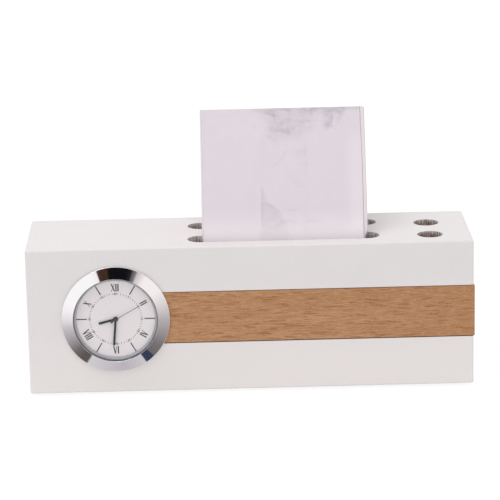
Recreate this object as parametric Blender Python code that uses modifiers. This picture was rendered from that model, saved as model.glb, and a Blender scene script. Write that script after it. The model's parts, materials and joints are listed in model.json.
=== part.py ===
"""A wooden desk block with a quartz clock insert, a wood inlay, pen holes and a note pad.

Metres. X runs along the block, Y away from the viewer and Z up. The origin is the centre of
the felt's underside. The clock's pieces are placed in the clock's own frame: its origin is on
the block's front face at the centre of the dial, x and y lie in the face, and z is the height
out of the face, towards the viewer. Heights below the face are negative.
"""
import math

import bmesh
import bpy
from mathutils import Matrix

# Wooden block
BLOCK_LENGTH = 0.210
BLOCK_DEPTH = 0.058
BLOCK_HEIGHT = 0.070
BLOCK_EDGE_RADIUS = 0.0009
BLOCK_EDGE_STEPS = 3
FELT_THICKNESS = 0.0012
FELT_INSET = 0.0070
SEAT_GAP = 0.0003
CUT_OVERRUN = 0.0020

# Pen holes and the pocket for the note pad
HOLE_RADIUS = 0.0060
PEN_HOLE_DEPTH = 0.050
PEN_HOLE_FROM_RIGHT = 0.0194
PEN_ROW_FROM_FRONT = 0.0133
PEN_ROW_SPACING = 0.0227
CORNER_ROW_FROM_FRONT = 0.0146
CORNER_ROW_SPACING = 0.0252
POCKET_DEPTH = 0.0229
POCKET_FROM_RIGHT = 0.0498
LEFT_CORNER_OUTSET = 0.00105
RIGHT_CORNER_OUTSET = 0.00055

# Note pad
PAD_WIDTH = 0.076
PAD_HEIGHT = 0.076
PAD_LEFT_CLEARANCE = 0.0003
PAD_RIGHT_CLEARANCE = 0.0008
PAD_CLEARANCE = 0.0003
PAD_LEAN = math.radians(15.5)
PAD_BACKING_THICKNESS = 0.0008
PAD_SHEET_GAP = 0.0002

# Wood strip let into the front face
STRIP_HEIGHT = 0.0246
STRIP_DROP = 0.0002
STRIP_THICKNESS = 0.0040
STRIP_FIT = 0.00025
STRIP_END_PROUD = 0.0005
STRIP_EDGE_RADIUS = 0.0003
STRIP_UNDER_BEZEL = 0.0060

# Clock insert: where it sits and the bore that holds it
CLOCK_END_MARGIN = 0.0161
CLOCK_RAISE = 0.0011
BORE_END_ROOM = 0.0037

# Bezel, lens, dial ring and dial
BEZEL_WIDTH = 0.0054
BEZEL_LIP_STEP = 0.0001
BEZEL_LIP_HEIGHT = 0.0033
BEZEL_RIM_HEIGHT = 0.0012
BEZEL_EDGE = 0.00025
BEZEL_SKIRT_WALL = 0.0013
LENS_THICKNESS = 0.0007
LENS_RECESS = 0.0004
LENS_FIT = 0.0002
LENS_EDGE = 0.0002
DIAL_RING_HEIGHT = 0.0014
DIAL_RING_TOP_WALL = 0.0002
DIAL_RING_FOOT_WALL = 0.0008
DIAL_THICKNESS = 0.0004
DIAL_HOLE_RADIUS = 0.0010
STACK_GAP = 0.00025

# Case
CASE_WALL = 0.0011
CASE_FLANGE_THICKNESS = 0.0009
CASE_FLANGE_FIT = 0.0003
CASE_BACK_THICKNESS = 0.0013
CASE_BACK_EDGE = 0.0006
GASKET_RIBS = 3
GASKET_RIB_PITCH = 0.0020
GASKET_WALL = 0.0004
GASKET_RIB_HEIGHT = 0.0005
GASKET_TOP = -0.0012

# Movement plates; the case, the bore and the bezel are sized outwards from the main plate
PLATE_RADIUS = 0.0196
PLATE_FIT = 0.0003
PLATE_RIM_WALL = 0.0010
PLATE_THICKNESS = 0.0012
BRIDGE_THICKNESS = 0.0006
BRIDGE_INSET = 0.0008
BRIDGE_CHORD_SHARE = 0.255
PILLAR_RADIUS = 0.0012
PILLAR_SHOULDER_RADIUS = 0.0020
PILLAR_SHOULDER_HEIGHT = 0.0013
SCREW_RADIUS = 0.0005
SCREW_HEAD_RADIUS = 0.0011
SCREW_HEAD_HEIGHT = 0.00035
SCREW_SLOT_WIDTH = 0.00035
SCREW_SLOT_DEPTH = 0.00018
SCREW_REACH = 0.0030
COIL_SCREW_X_SHARE = 0.628
COIL_Y_SHARE = -0.587
SIDE_SCREW_SHARES = (-0.694, 0.179)

# Gear train: teeth and modules
ROTOR_TEETH = 8
INTERMEDIATE_WHEEL_TEETH = 40
INTERMEDIATE_PINION_TEETH = 8
SECONDS_WHEEL_TEETH = 48
SECONDS_PINION_TEETH = 8
THIRD_WHEEL_TEETH = 60
THIRD_PINION_TEETH = 8
CENTRE_WHEEL_TEETH = 64
CANNON_TEETH = 10
MINUTE_WHEEL_TEETH = 30
MINUTE_PINION_TEETH = 10
HOUR_WHEEL_TEETH = 40
ROTOR_DISTANCE_SHARE = 0.245
INTERMEDIATE_DISTANCE_SHARE = 0.314
THIRD_DISTANCE_SHARE = 0.312
MINUTE_DISTANCE_SHARE = 0.357
THIRD_DIRECTION = math.radians(190.0)
INTERMEDIATE_DIRECTION = math.radians(-10.0)
ROTOR_DIRECTION = math.radians(-35.0)
MINUTE_DIRECTION = math.radians(-110.0)
ADDENDUM_SHARE = 0.8
DEDENDUM_SHARE = 1.15
TOOTH_ROOT_SHARE = 0.5
TOOTH_TIP_SHARE = 0.2
WHEEL_THICKNESS = 0.0004
PINION_OVERHANG = 0.0002
ARBOR_RADIUS = 0.00030
SECONDS_ARBOR_RADIUS = 0.00020
RUNNING_CLEARANCE = 0.00007
TUBE_WALL = 0.00023
PIPE_WALL = 0.00028
MINUTE_SHAFT_RADIUS = 0.0005
MOTION_GAP = 0.0004
TRAIN_GAP = 0.0003
TRAIN_LAYER_GAP = 0.0008
BRIDGE_GAP = 0.0006
PIVOT_REACH = 0.0004

# Hands
HOUR_HAND_TOP = 0.00090
MINUTE_HAND_TOP = 0.00135
SECOND_HAND_TOP = 0.00175
HAND_THICKNESS = 0.00020
HAND_FIT = 0.00005
HOUR_HAND_LENGTH = 0.0082
MINUTE_HAND_LENGTH = 0.0128
SECOND_HAND_LENGTH = 0.0124
SECOND_HAND_TAIL = 0.0028
HOUR_HAND_WIDTH = 0.00100
MINUTE_HAND_WIDTH = 0.00090
SECOND_HAND_WIDTH = 0.00034
SECOND_TAIL_WIDTH = 0.00130
HOUR_HUB_RADIUS = 0.00120
MINUTE_HUB_RADIUS = 0.00100
SECOND_HUB_RADIUS = 0.00060
HOUR_ANGLE = math.radians(255.2)
MINUTE_ANGLE = math.radians(185.0)
SECOND_ANGLE = math.radians(60.5)

# Motor
MAGNET_RADIUS = 0.0020
MAGNET_GAP = 0.0008
MAGNET_LENGTH = 0.0024
STATOR_THICKNESS = 0.0006
STATOR_AIR_GAP = 0.0003
STATOR_RING_WALL = 0.0013
STATOR_NOTCH = 0.0003
STATOR_BAR_Y_SHARE = -0.398
STATOR_BAR_WIDTH = 0.0012
STATOR_LEG_INSET = 0.0014
STATOR_RING_START = math.radians(-20.0)
STATOR_RING_END = math.radians(200.0)
STATOR_FOOT_START = math.radians(247.0)
STATOR_FOOT_END = math.radians(276.0)
CORE_THICKNESS = 0.0006
CORE_WIDTH = 0.0020
CORE_PAD_RADIUS = 0.0020
BOBBIN_END_ROOM = 0.0017
BOBBIN_BORE_CLEARANCE = 0.0002
BOBBIN_WALL = 0.0002
BOBBIN_FLANGE_RADIUS = 0.0018
BOBBIN_FLANGE_THICKNESS = 0.0005
WINDING_RADIUS = 0.0017
WINDING_GAP = 0.0001

# Battery, its contacts, the circuit and the setting knob
BATTERY_RADIUS_SHARE = 0.242
BATTERY_THICKNESS = 0.0027
BATTERY_CAP_INSET = 0.00095
BATTERY_CAP_HEIGHT = 0.0004
BATTERY_Y_SHARE = 0.597
CUP_CLEARANCE = 0.0003
CUP_WALL = 0.0006
CUP_RECESS = 0.0004
CONTACT_THICKNESS = 0.0002
CONTACT_PLUS_DEPTH = 0.0014
CONTACT_MINUS_START = math.radians(-10.0)
CONTACT_MINUS_END = math.radians(280.0)
CUP_OPENING_START = math.radians(-62.0)
CUP_OPENING_END = math.radians(4.0)
CONTACT_MARGIN = math.radians(9.0)
BOARD_CENTRE_SHARES = (0.561, 0.393)
BOARD_SIZE_SHARES = (0.449, 0.275)
BOARD_STANDOFF = 0.0023
BOARD_THICKNESS = 0.0006
BOARD_POST_RADIUS = 0.0006
BOARD_POST_INSET = 0.0010
CRYSTAL_RADIUS = 0.0010
CRYSTAL_END_ROOM = 0.0001
CRYSTAL_FROM_EDGE = 0.0017
CHIP_SIZE = 0.0030
CHIP_HEIGHT = 0.0006
HATCH_CLEARANCE = 0.0002
HATCH_OVERLAP = 0.00065
HATCH_RECESS = 0.0001
HATCH_LUG_REACH = 0.0009
HATCH_LUG_WIDTH = 0.0026
HATCH_LUG_THICKNESS = 0.00035
HATCH_BOSS_INSET = 0.0010
HATCH_BOSS_HEIGHT = 0.0003
HATCH_SLOT_WIDTH = 0.0010
HATCH_SLOT_DEPTH = 0.0006
HATCH_SLOT_END_WALL = 0.0014
HATCH_TURN = math.radians(40.0)
KNOB_RADIUS = 0.0026
KNOB_LENGTH = 0.0022
KNOB_FLUTES = 16
KNOB_FLUTE_DEPTH = 0.0003
KNOB_END_WALL = 0.0004

# Facets on round shapes
FINE_SIDES = 56
ROUND_SIDES = 36
SMALL_SIDES = 16
PIN_SIDES = 10
ARC_STEPS = 8
LONG_ARC_STEPS = 12
SMOOTH_ANGLE = math.radians(35.0)
MERGE_DISTANCE = 0.000001

# Places worked out from the sizes above
BLOCK_BOTTOM = FELT_THICKNESS + SEAT_GAP
BLOCK_TOP = BLOCK_BOTTOM + BLOCK_HEIGHT
FRONT_FACE = -BLOCK_DEPTH / 2
RIGHT_END = BLOCK_LENGTH / 2
PEN_FRONT_ROW = FRONT_FACE + PEN_ROW_FROM_FRONT
PEN_REAR_ROW = PEN_FRONT_ROW + PEN_ROW_SPACING
CORNER_FRONT_ROW = FRONT_FACE + CORNER_ROW_FROM_FRONT
CORNER_REAR_ROW = CORNER_FRONT_ROW + CORNER_ROW_SPACING
POCKET_WIDTH = PAD_WIDTH + PAD_LEFT_CLEARANCE + PAD_RIGHT_CLEARANCE
POCKET_RIGHT = RIGHT_END - POCKET_FROM_RIGHT
POCKET_LEFT = POCKET_RIGHT - POCKET_WIDTH
POCKET_FRONT = CORNER_FRONT_ROW - HOLE_RADIUS
POCKET_REAR = CORNER_REAR_ROW + HOLE_RADIUS
POCKET_FLOOR = BLOCK_TOP - POCKET_DEPTH

CASE_INNER_RADIUS = PLATE_RADIUS + PLATE_FIT
CASE_RADIUS = CASE_INNER_RADIUS + CASE_WALL
GASKET_RADIUS = CASE_RADIUS + PLATE_FIT + GASKET_WALL + GASKET_RIB_HEIGHT
BORE_RADIUS = GASKET_RADIUS + PLATE_FIT
BEZEL_LIP_RADIUS = CASE_INNER_RADIUS + BEZEL_LIP_STEP
BEZEL_RADIUS = BEZEL_LIP_RADIUS + BEZEL_WIDTH
CASE_FLANGE_RADIUS = BEZEL_RADIUS - BEZEL_SKIRT_WALL - CASE_FLANGE_FIT
CASE_FLANGE_TOP = SEAT_GAP + CASE_FLANGE_THICKNESS
CLOCK_X = -BLOCK_LENGTH / 2 + CLOCK_END_MARGIN + BEZEL_RADIUS
CLOCK_Z = BLOCK_BOTTOM + BLOCK_HEIGHT / 2 + CLOCK_RAISE
STRIP_Z = CLOCK_Z - STRIP_DROP

# The clock's layers, from the lens to the back of the case
LENS_FRONT = BEZEL_LIP_HEIGHT - LENS_RECESS
LENS_BACK = LENS_FRONT - LENS_THICKNESS
DIAL_RING_TOP = LENS_BACK - STACK_GAP
DIAL_TOP = DIAL_RING_TOP - DIAL_RING_HEIGHT - STACK_GAP
DIAL_BACK = DIAL_TOP - DIAL_THICKNESS
HOUR_WHEEL_TOP = DIAL_BACK - MOTION_GAP
MINUTE_WHEEL_TOP = HOUR_WHEEL_TOP - WHEEL_THICKNESS - MOTION_GAP
PLATE_TOP = MINUTE_WHEEL_TOP - WHEEL_THICKNESS - MOTION_GAP
PLATE_BACK = PLATE_TOP - PLATE_THICKNESS
CENTRE_WHEEL_TOP = PLATE_BACK - TRAIN_GAP
THIRD_WHEEL_TOP = CENTRE_WHEEL_TOP - WHEEL_THICKNESS - TRAIN_LAYER_GAP
SECONDS_WHEEL_TOP = THIRD_WHEEL_TOP - WHEEL_THICKNESS - TRAIN_LAYER_GAP
INTERMEDIATE_WHEEL_TOP = SECONDS_WHEEL_TOP - WHEEL_THICKNESS - TRAIN_LAYER_GAP
BRIDGE_TOP = INTERMEDIATE_WHEEL_TOP - WHEEL_THICKNESS - BRIDGE_GAP
BRIDGE_BACK = BRIDGE_TOP - BRIDGE_THICKNESS
PILLAR_SHOULDER = PLATE_BACK - PILLAR_SHOULDER_HEIGHT
PILLAR_BACK = BRIDGE_TOP + STACK_GAP
MAGNET_TOP = PLATE_BACK - MAGNET_GAP
STATOR_TOP = PILLAR_SHOULDER - STACK_GAP
CORE_TOP = STATOR_TOP - STATOR_THICKNESS - STACK_GAP
BOARD_TOP = PLATE_BACK - BOARD_STANDOFF
SCREW_HEAD_TOP = BRIDGE_BACK - STACK_GAP / 2
SCREW_HEAD_BACK = SCREW_HEAD_TOP - SCREW_HEAD_HEIGHT
CASE_FLOOR = SCREW_HEAD_BACK - STACK_GAP
CASE_BACK = CASE_FLOOR - CASE_BACK_THICKNESS
HATCH_SHOULDER = CASE_FLOOR + SEAT_GAP / 2
HATCH_LUG_TOP = HATCH_SHOULDER + HATCH_LUG_THICKNESS
HATCH_BOSS_TOP = HATCH_LUG_TOP + HATCH_BOSS_HEIGHT
BATTERY_BACK = HATCH_BOSS_TOP + SEAT_GAP
CUP_BACK = BATTERY_BACK + CUP_RECESS
KNOB_TOP = CASE_BACK - SEAT_GAP
KNOB_BACK = KNOB_TOP - KNOB_LENGTH
BORE_DEPTH = BORE_END_ROOM - KNOB_BACK

# The movement's layout follows the main plate
THIRD_AXIS_DISTANCE = THIRD_DISTANCE_SHARE * PLATE_RADIUS
INTERMEDIATE_DISTANCE = INTERMEDIATE_DISTANCE_SHARE * PLATE_RADIUS
ROTOR_DISTANCE = ROTOR_DISTANCE_SHARE * PLATE_RADIUS
MINUTE_AXIS_DISTANCE = MINUTE_DISTANCE_SHARE * PLATE_RADIUS
BRIDGE_RADIUS = PLATE_RADIUS - BRIDGE_INSET
BATTERY_RADIUS = BATTERY_RADIUS_SHARE * PLATE_RADIUS
BATTERY_CAP_RADIUS = BATTERY_RADIUS - BATTERY_CAP_INSET
BATTERY_Y = BATTERY_Y_SHARE * PLATE_RADIUS
HATCH_RADIUS = BATTERY_RADIUS + HATCH_OVERLAP
COIL_SCREW_X = COIL_SCREW_X_SHARE * PLATE_RADIUS
COIL_Y = COIL_Y_SHARE * PLATE_RADIUS
STATOR_BAR_TOP = STATOR_BAR_Y_SHARE * PLATE_RADIUS
BOBBIN_HALF_LENGTH = COIL_SCREW_X - CORE_PAD_RADIUS - BOBBIN_END_ROOM
BOARD_CENTRE = tuple(share * PLATE_RADIUS for share in BOARD_CENTRE_SHARES)
BOARD_SIZE = tuple(share * PLATE_RADIUS for share in BOARD_SIZE_SHARES)

CENTRE_TUBE_RADIUS = SECONDS_ARBOR_RADIUS + RUNNING_CLEARANCE + TUBE_WALL
HOUR_PIPE_BORE = CENTRE_TUBE_RADIUS + RUNNING_CLEARANCE
HOUR_PIPE_RADIUS = HOUR_PIPE_BORE + PIPE_WALL
ROTOR_MODULE = 2 * ROTOR_DISTANCE / (ROTOR_TEETH + INTERMEDIATE_WHEEL_TEETH)
SECONDS_MODULE = 2 * INTERMEDIATE_DISTANCE / (INTERMEDIATE_PINION_TEETH + SECONDS_WHEEL_TEETH)
SECONDS_PINION_MODULE = 2 * THIRD_AXIS_DISTANCE / (SECONDS_PINION_TEETH + THIRD_WHEEL_TEETH)
CENTRE_MODULE = 2 * THIRD_AXIS_DISTANCE / (THIRD_PINION_TEETH + CENTRE_WHEEL_TEETH)
CANNON_MODULE = 2 * MINUTE_AXIS_DISTANCE / (CANNON_TEETH + MINUTE_WHEEL_TEETH)
HOUR_MODULE = 2 * MINUTE_AXIS_DISTANCE / (MINUTE_PINION_TEETH + HOUR_WHEEL_TEETH)


def polar(radius, angle, centre=(0.0, 0.0)):
    """The point at a radius and an angle, counted from +x towards +y."""
    return (centre[0] + radius * math.cos(angle), centre[1] + radius * math.sin(angle))


CENTRE_AXIS = (0.0, 0.0)
THIRD_AXIS = polar(THIRD_AXIS_DISTANCE, THIRD_DIRECTION)
INTERMEDIATE_AXIS = polar(INTERMEDIATE_DISTANCE, INTERMEDIATE_DIRECTION)
ROTOR_AXIS = polar(ROTOR_DISTANCE, ROTOR_DIRECTION, INTERMEDIATE_AXIS)
MINUTE_AXIS = polar(MINUTE_AXIS_DISTANCE, MINUTE_DIRECTION)
BATTERY_AXIS = (0.0, BATTERY_Y)
COIL_SCREWS = ((-COIL_SCREW_X, COIL_Y), (COIL_SCREW_X, COIL_Y))
SIDE_SCREW = tuple(share * PLATE_RADIUS for share in SIDE_SCREW_SHARES)
BRIDGE_SCREWS = (*COIL_SCREWS, SIDE_SCREW)


def clear_scene():
    """Remove whatever the scene holds."""
    for thing in list(bpy.data.objects):
        bpy.data.objects.remove(thing, do_unlink=True)


def new_collection(name):
    """Make a collection and link it to the scene."""
    collection = bpy.data.collections.new(name)
    bpy.context.scene.collection.children.link(collection)
    return collection


def new_material(name, colour, roughness, metallic=0.0):
    """A Principled material with one colour."""
    material = bpy.data.materials.new(name)
    material.use_nodes = True
    shader = material.node_tree.nodes["Principled BSDF"]
    shader.inputs["Base Color"].default_value = (*colour, 1.0)
    shader.inputs["Roughness"].default_value = roughness
    shader.inputs["Metallic"].default_value = metallic
    return material


clear_scene()
PARTS = new_collection("desk_clock_block")
CUTTERS = new_collection("cutters")

WHITE_PAINT = new_material("white_paint", (0.78, 0.74, 0.74), 0.45)
BEECH = new_material("beech", (0.44, 0.24, 0.12), 0.5)
FELT = new_material("felt", (0.05, 0.05, 0.05), 0.95)
PAPER = new_material("paper", (0.74, 0.68, 0.72), 0.6)
CARD = new_material("grey_card", (0.35, 0.32, 0.28), 0.8)
CHROME = new_material("chrome", (0.80, 0.80, 0.82), 0.08, 1.0)
CLEAR = new_material("clear_acrylic", (0.90, 0.92, 0.93), 0.03)
GREY_PLASTIC = new_material("grey_plastic", (0.35, 0.37, 0.40), 0.35)
DIAL_WHITE = new_material("dial_white", (0.72, 0.69, 0.70), 0.5)
BLACK_PLASTIC = new_material("black_plastic", (0.02, 0.02, 0.022), 0.4)
RUBBER = new_material("black_rubber", (0.03, 0.03, 0.03), 0.8)
WHITE_PLASTIC = new_material("white_plastic", (0.75, 0.75, 0.72), 0.4)
COPPER = new_material("copper_wire", (0.60, 0.25, 0.10), 0.35, 1.0)
STEEL = new_material("steel", (0.55, 0.55, 0.55), 0.3, 1.0)
MAGNET = new_material("magnet", (0.10, 0.10, 0.10), 0.4, 0.6)
BOARD_GREEN = new_material("board_green", (0.02, 0.15, 0.06), 0.4)
BRASS = new_material("brass", (0.62, 0.45, 0.18), 0.3, 1.0)
HAND_BLACK = new_material("hand_black", (0.015, 0.015, 0.015), 0.35)
HAND_BROWN = new_material("hand_brown", (0.20, 0.15, 0.14), 0.4)


def new_empty(name, location, rotation):
    """An empty that carries pieces and names an axis or a frame."""
    empty = bpy.data.objects.new(name, None)
    empty.location = location
    empty.rotation_euler = rotation
    PARTS.objects.link(empty)
    return empty


CLOCK = new_empty("clock_frame", (CLOCK_X, FRONT_FACE, CLOCK_Z), (math.pi / 2, 0.0, 0.0))


def new_object(name, mesh, material, parent=None, axis=CENTRE_AXIS):
    """Link a mesh as a named piece; a piece of the clock stands on its axis in the clock's frame."""
    thing = bpy.data.objects.new(name, mesh)
    mesh.materials.append(material)
    thing.parent = parent
    thing.location = (axis[0], axis[1], 0.0)
    PARTS.objects.link(thing)
    return thing


def as_tool(thing):
    """Move an object to the cutters, where it is a guide for a Boolean and not a piece."""
    PARTS.objects.unlink(thing)
    CUTTERS.objects.link(thing)
    thing.hide_render = True
    thing.display_type = "WIRE"
    return thing


def combine(thing, tool, operation):
    """Join or cut a piece with a tool object."""
    modifier = thing.modifiers.new(operation.lower() + "_" + tool.name, "BOOLEAN")
    modifier.operation = operation
    modifier.object = as_tool(tool)
    modifier.solver = "EXACT"
    return thing


def add_bevel(thing, width, segments):
    """Round the sharp edges of a piece."""
    modifier = thing.modifiers.new("edges", "BEVEL")
    modifier.width = width
    modifier.segments = segments
    modifier.limit_method = "ANGLE"
    return thing


def to_mesh(shape, name, smooth=True):
    """Turn a bmesh into a mesh with its faces pointing out."""
    bmesh.ops.recalc_face_normals(shape, faces=shape.faces)
    mesh = bpy.data.meshes.new(name)
    shape.to_mesh(mesh)
    shape.free()
    if smooth:
        mesh.shade_smooth()
        mesh.set_sharp_from_angle(angle=SMOOTH_ANGLE)
    return mesh


def box(name, low, high, material, parent=None, axis=CENTRE_AXIS):
    """A box between two corners."""
    shape = bmesh.new()
    bmesh.ops.create_cube(shape, size=1.0)
    size = [high[i] - low[i] for i in range(3)]
    centre = [(high[i] + low[i]) / 2 for i in range(3)]
    bmesh.ops.scale(shape, verts=shape.verts, vec=size)
    bmesh.ops.translate(shape, verts=shape.verts, vec=centre)
    return new_object(name, to_mesh(shape, name, smooth=False), material, parent, axis)


def cylinder(name, radius, low, high, sides, material, parent=None, axis=CENTRE_AXIS):
    """A cylinder along z on its axis."""
    shape = bmesh.new()
    bmesh.ops.create_cone(shape, cap_ends=True, segments=sides, radius1=radius, radius2=radius,
                          depth=high - low, matrix=Matrix.Translation((0.0, 0.0, (high + low) / 2)))
    return new_object(name, to_mesh(shape, name), material, parent, axis)


def turned(name, profile, sides, material, parent=None, axis=CENTRE_AXIS, closed=False):
    """Turn a profile of (radius, height) points about z, its outer side running downwards."""
    mesh = bpy.data.meshes.new(name)
    count = len(profile)
    edges = [(i, i + 1) for i in range(count - 1)]
    if closed:
        edges.append((count - 1, 0))
    mesh.from_pydata([(radius, 0.0, height) for radius, height in profile], edges, [])
    thing = new_object(name, mesh, material, parent, axis)
    screw = thing.modifiers.new("turn", "SCREW")
    screw.steps = sides
    screw.render_steps = sides
    screw.use_merge_vertices = True
    screw.merge_threshold = MERGE_DISTANCE
    screw.use_smooth_shade = True
    return thing


def arc(centre, radius, start, end, steps):
    """Points along an arc, both ends included."""
    return [polar(radius, start + (end - start) * i / steps, centre) for i in range(steps + 1)]


def circle(centre, radius, sides):
    """The corners of a round hole."""
    return [polar(radius, math.tau * i / sides, centre) for i in range(sides)]


def plate(name, outline, holes, low, high, material, parent=None, axis=CENTRE_AXIS):
    """A flat plate from a 2D outline and its holes, made a mesh so that it can be joined or cut."""
    curve = bpy.data.curves.new(name, "CURVE")
    curve.dimensions = "2D"
    curve.fill_mode = "BOTH"
    curve.extrude = (high - low) / 2
    for points in (outline, *holes):
        spline = curve.splines.new("POLY")
        spline.points.add(len(points) - 1)
        for point, place in zip(spline.points, points):
            point.co = (place[0], place[1], 0.0, 1.0)
        spline.use_cyclic_u = True
    guide = bpy.data.objects.new(name, curve)
    PARTS.objects.link(guide)
    flat = bpy.data.meshes.new_from_object(guide.evaluated_get(bpy.context.evaluated_depsgraph_get()))
    bpy.data.objects.remove(guide)
    shape = bmesh.new()
    shape.from_mesh(flat)
    bmesh.ops.remove_doubles(shape, verts=shape.verts, dist=MERGE_DISTANCE)
    bmesh.ops.translate(shape, verts=shape.verts, vec=(0.0, 0.0, (high + low) / 2))
    return new_object(name, to_mesh(shape, name), material, parent, axis)


def gear(name, teeth, module, top, thickness, phase, material, axis):
    """A toothed disc: a circle with four corners to a tooth, raised to its thickness."""
    pitch_radius = teeth * module / 2
    tip_radius = pitch_radius + ADDENDUM_SHARE * module
    root_radius = pitch_radius - DEDENDUM_SHARE * module
    corners = ((-TOOTH_ROOT_SHARE / 2, root_radius), (-TOOTH_TIP_SHARE / 2, tip_radius),
               (TOOTH_TIP_SHARE / 2, tip_radius), (TOOTH_ROOT_SHARE / 2, root_radius))
    pitch = math.tau / teeth
    shape = bmesh.new()
    ring = bmesh.ops.create_circle(shape, cap_ends=True, segments=len(corners) * teeth, radius=tip_radius)
    for i, corner in enumerate(ring["verts"]):
        share, radius = corners[i % len(corners)]
        x, y = polar(radius, phase + (i // len(corners) + share) * pitch)
        corner.co = (x, y, top - thickness)
    raised = bmesh.ops.extrude_face_region(shape, geom=list(shape.faces))
    upper = [part for part in raised["geom"] if isinstance(part, bmesh.types.BMVert)]
    bmesh.ops.translate(shape, verts=upper, vec=(0.0, 0.0, thickness))
    return new_object(name, to_mesh(shape, name, smooth=False), material, CLOCK, axis)


def meshing_phase(phase, teeth, other_teeth, direction):
    """The phase that puts another wheel's gap on this wheel's tooth, across a line of centres."""
    offset = (phase - direction) * teeth / math.tau
    return direction + math.pi - (offset + 0.5) * math.tau / other_teeth


def pinion_top(wheel_top):
    """A pinion's top face, a little above the wheel that it drives."""
    return wheel_top + PINION_OVERHANG


PINION_THICKNESS = WHEEL_THICKNESS + 2 * PINION_OVERHANG


def make_block():
    """The painted block with its bore, recess, holes and pocket, on a felt sheet."""
    block = box("body_block", (-RIGHT_END, FRONT_FACE, BLOCK_BOTTOM), (RIGHT_END, -FRONT_FACE, BLOCK_TOP),
                WHITE_PAINT)
    add_bevel(block, BLOCK_EDGE_RADIUS, BLOCK_EDGE_STEPS)
    bore = cylinder("clock_bore", BORE_RADIUS, -BORE_DEPTH, CUT_OVERRUN, FINE_SIDES, WHITE_PAINT, CLOCK)
    combine(block, bore, "DIFFERENCE")
    half_recess = STRIP_HEIGHT / 2 + STRIP_FIT
    recess = box("strip_recess", (strip_left() - STRIP_FIT, FRONT_FACE - CUT_OVERRUN, STRIP_Z - half_recess),
                 (RIGHT_END + CUT_OVERRUN, FRONT_FACE + STRIP_THICKNESS + STRIP_FIT, STRIP_Z + half_recess),
                 WHITE_PAINT)
    combine(block, recess, "DIFFERENCE")
    pocket_top = BLOCK_TOP + CUT_OVERRUN
    pocket = box("pad_pocket", (POCKET_LEFT, POCKET_FRONT, POCKET_FLOOR),
                 (POCKET_RIGHT, POCKET_REAR, pocket_top), WHITE_PAINT)
    combine(block, pocket, "DIFFERENCE")
    for kind, x, depth, rows in (
            ("left_corner", POCKET_LEFT - LEFT_CORNER_OUTSET, POCKET_DEPTH, (CORNER_FRONT_ROW, CORNER_REAR_ROW)),
            ("right_corner", POCKET_RIGHT + RIGHT_CORNER_OUTSET, POCKET_DEPTH, (CORNER_FRONT_ROW, CORNER_REAR_ROW)),
            ("pen", RIGHT_END - PEN_HOLE_FROM_RIGHT, PEN_HOLE_DEPTH, (PEN_FRONT_ROW, PEN_REAR_ROW))):
        for y in rows:
            hole = cylinder(kind + "_hole", HOLE_RADIUS, BLOCK_TOP - depth, pocket_top, ROUND_SIDES,
                            WHITE_PAINT, None, (x, y))
            combine(block, hole, "DIFFERENCE")
    felt_x = RIGHT_END - FELT_INSET
    felt_y = -FRONT_FACE - FELT_INSET
    box("felt_base", (-felt_x, -felt_y, 0.0), (felt_x, felt_y, FELT_THICKNESS), FELT)


def strip_left():
    """The strip starts under the bezel, where the bore cuts its end to an arc."""
    return CLOCK_X + BORE_RADIUS - STRIP_UNDER_BEZEL


def make_strip():
    """The wood strip, flush with the face, its left end cut by the clock's bore."""
    low = (strip_left(), FRONT_FACE, STRIP_Z - STRIP_HEIGHT / 2)
    high = (RIGHT_END + STRIP_END_PROUD, FRONT_FACE + STRIP_THICKNESS, STRIP_Z + STRIP_HEIGHT / 2)
    strip = box("wood_strip", low, high, BEECH)
    add_bevel(strip, STRIP_EDGE_RADIUS, 1)
    end = cylinder("strip_end_cut", BORE_RADIUS, -BORE_DEPTH, CUT_OVERRUN, FINE_SIDES, BEECH, CLOCK)
    combine(strip, end, "DIFFERENCE")


def make_note_pad():
    """The sheets and their card back, leaning on the pocket's rear edge."""
    lean_sin, lean_cos = math.sin(PAD_LEAN), math.cos(PAD_LEAN)
    standing = POCKET_DEPTH - PAD_CLEARANCE
    span = POCKET_REAR - POCKET_FRONT - 2 * PAD_CLEARANCE
    thickness = (span - standing * lean_sin / lean_cos) / lean_cos
    corner_z = POCKET_FLOOR + PAD_CLEARANCE + thickness * lean_sin
    pad_middle = POCKET_LEFT + PAD_LEFT_CLEARANCE + PAD_WIDTH / 2
    corner = (pad_middle, POCKET_FRONT + PAD_CLEARANCE, corner_z)
    frame = new_empty("pad_frame", corner, (-PAD_LEAN, 0.0, 0.0))
    half = PAD_WIDTH / 2
    card_front = thickness - PAD_BACKING_THICKNESS
    sheets_back = card_front - PAD_SHEET_GAP
    box("note_sheets", (-half, 0.0, 0.0), (half, sheets_back, PAD_HEIGHT), PAPER, frame)
    box("note_backing", (-half, card_front, 0.0), (half, thickness, PAD_HEIGHT), CARD, frame)


def make_bezel():
    """The chrome ring: a cone that rises from the rim to the lip, hollow behind for the flange."""
    skirt = BEZEL_RADIUS - BEZEL_SKIRT_WALL
    seat = CASE_FLANGE_TOP + CASE_FLANGE_FIT
    profile = ((BEZEL_LIP_RADIUS + BEZEL_EDGE, BEZEL_LIP_HEIGHT),
               (BEZEL_RADIUS - BEZEL_EDGE, BEZEL_RIM_HEIGHT + BEZEL_EDGE),
               (BEZEL_RADIUS, BEZEL_RIM_HEIGHT),
               (BEZEL_RADIUS, SEAT_GAP),
               (skirt, SEAT_GAP),
               (skirt, seat),
               (BEZEL_LIP_RADIUS, seat),
               (BEZEL_LIP_RADIUS, BEZEL_LIP_HEIGHT - BEZEL_EDGE))
    turned("bezel", profile, FINE_SIDES, CHROME, CLOCK, closed=True)


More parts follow.
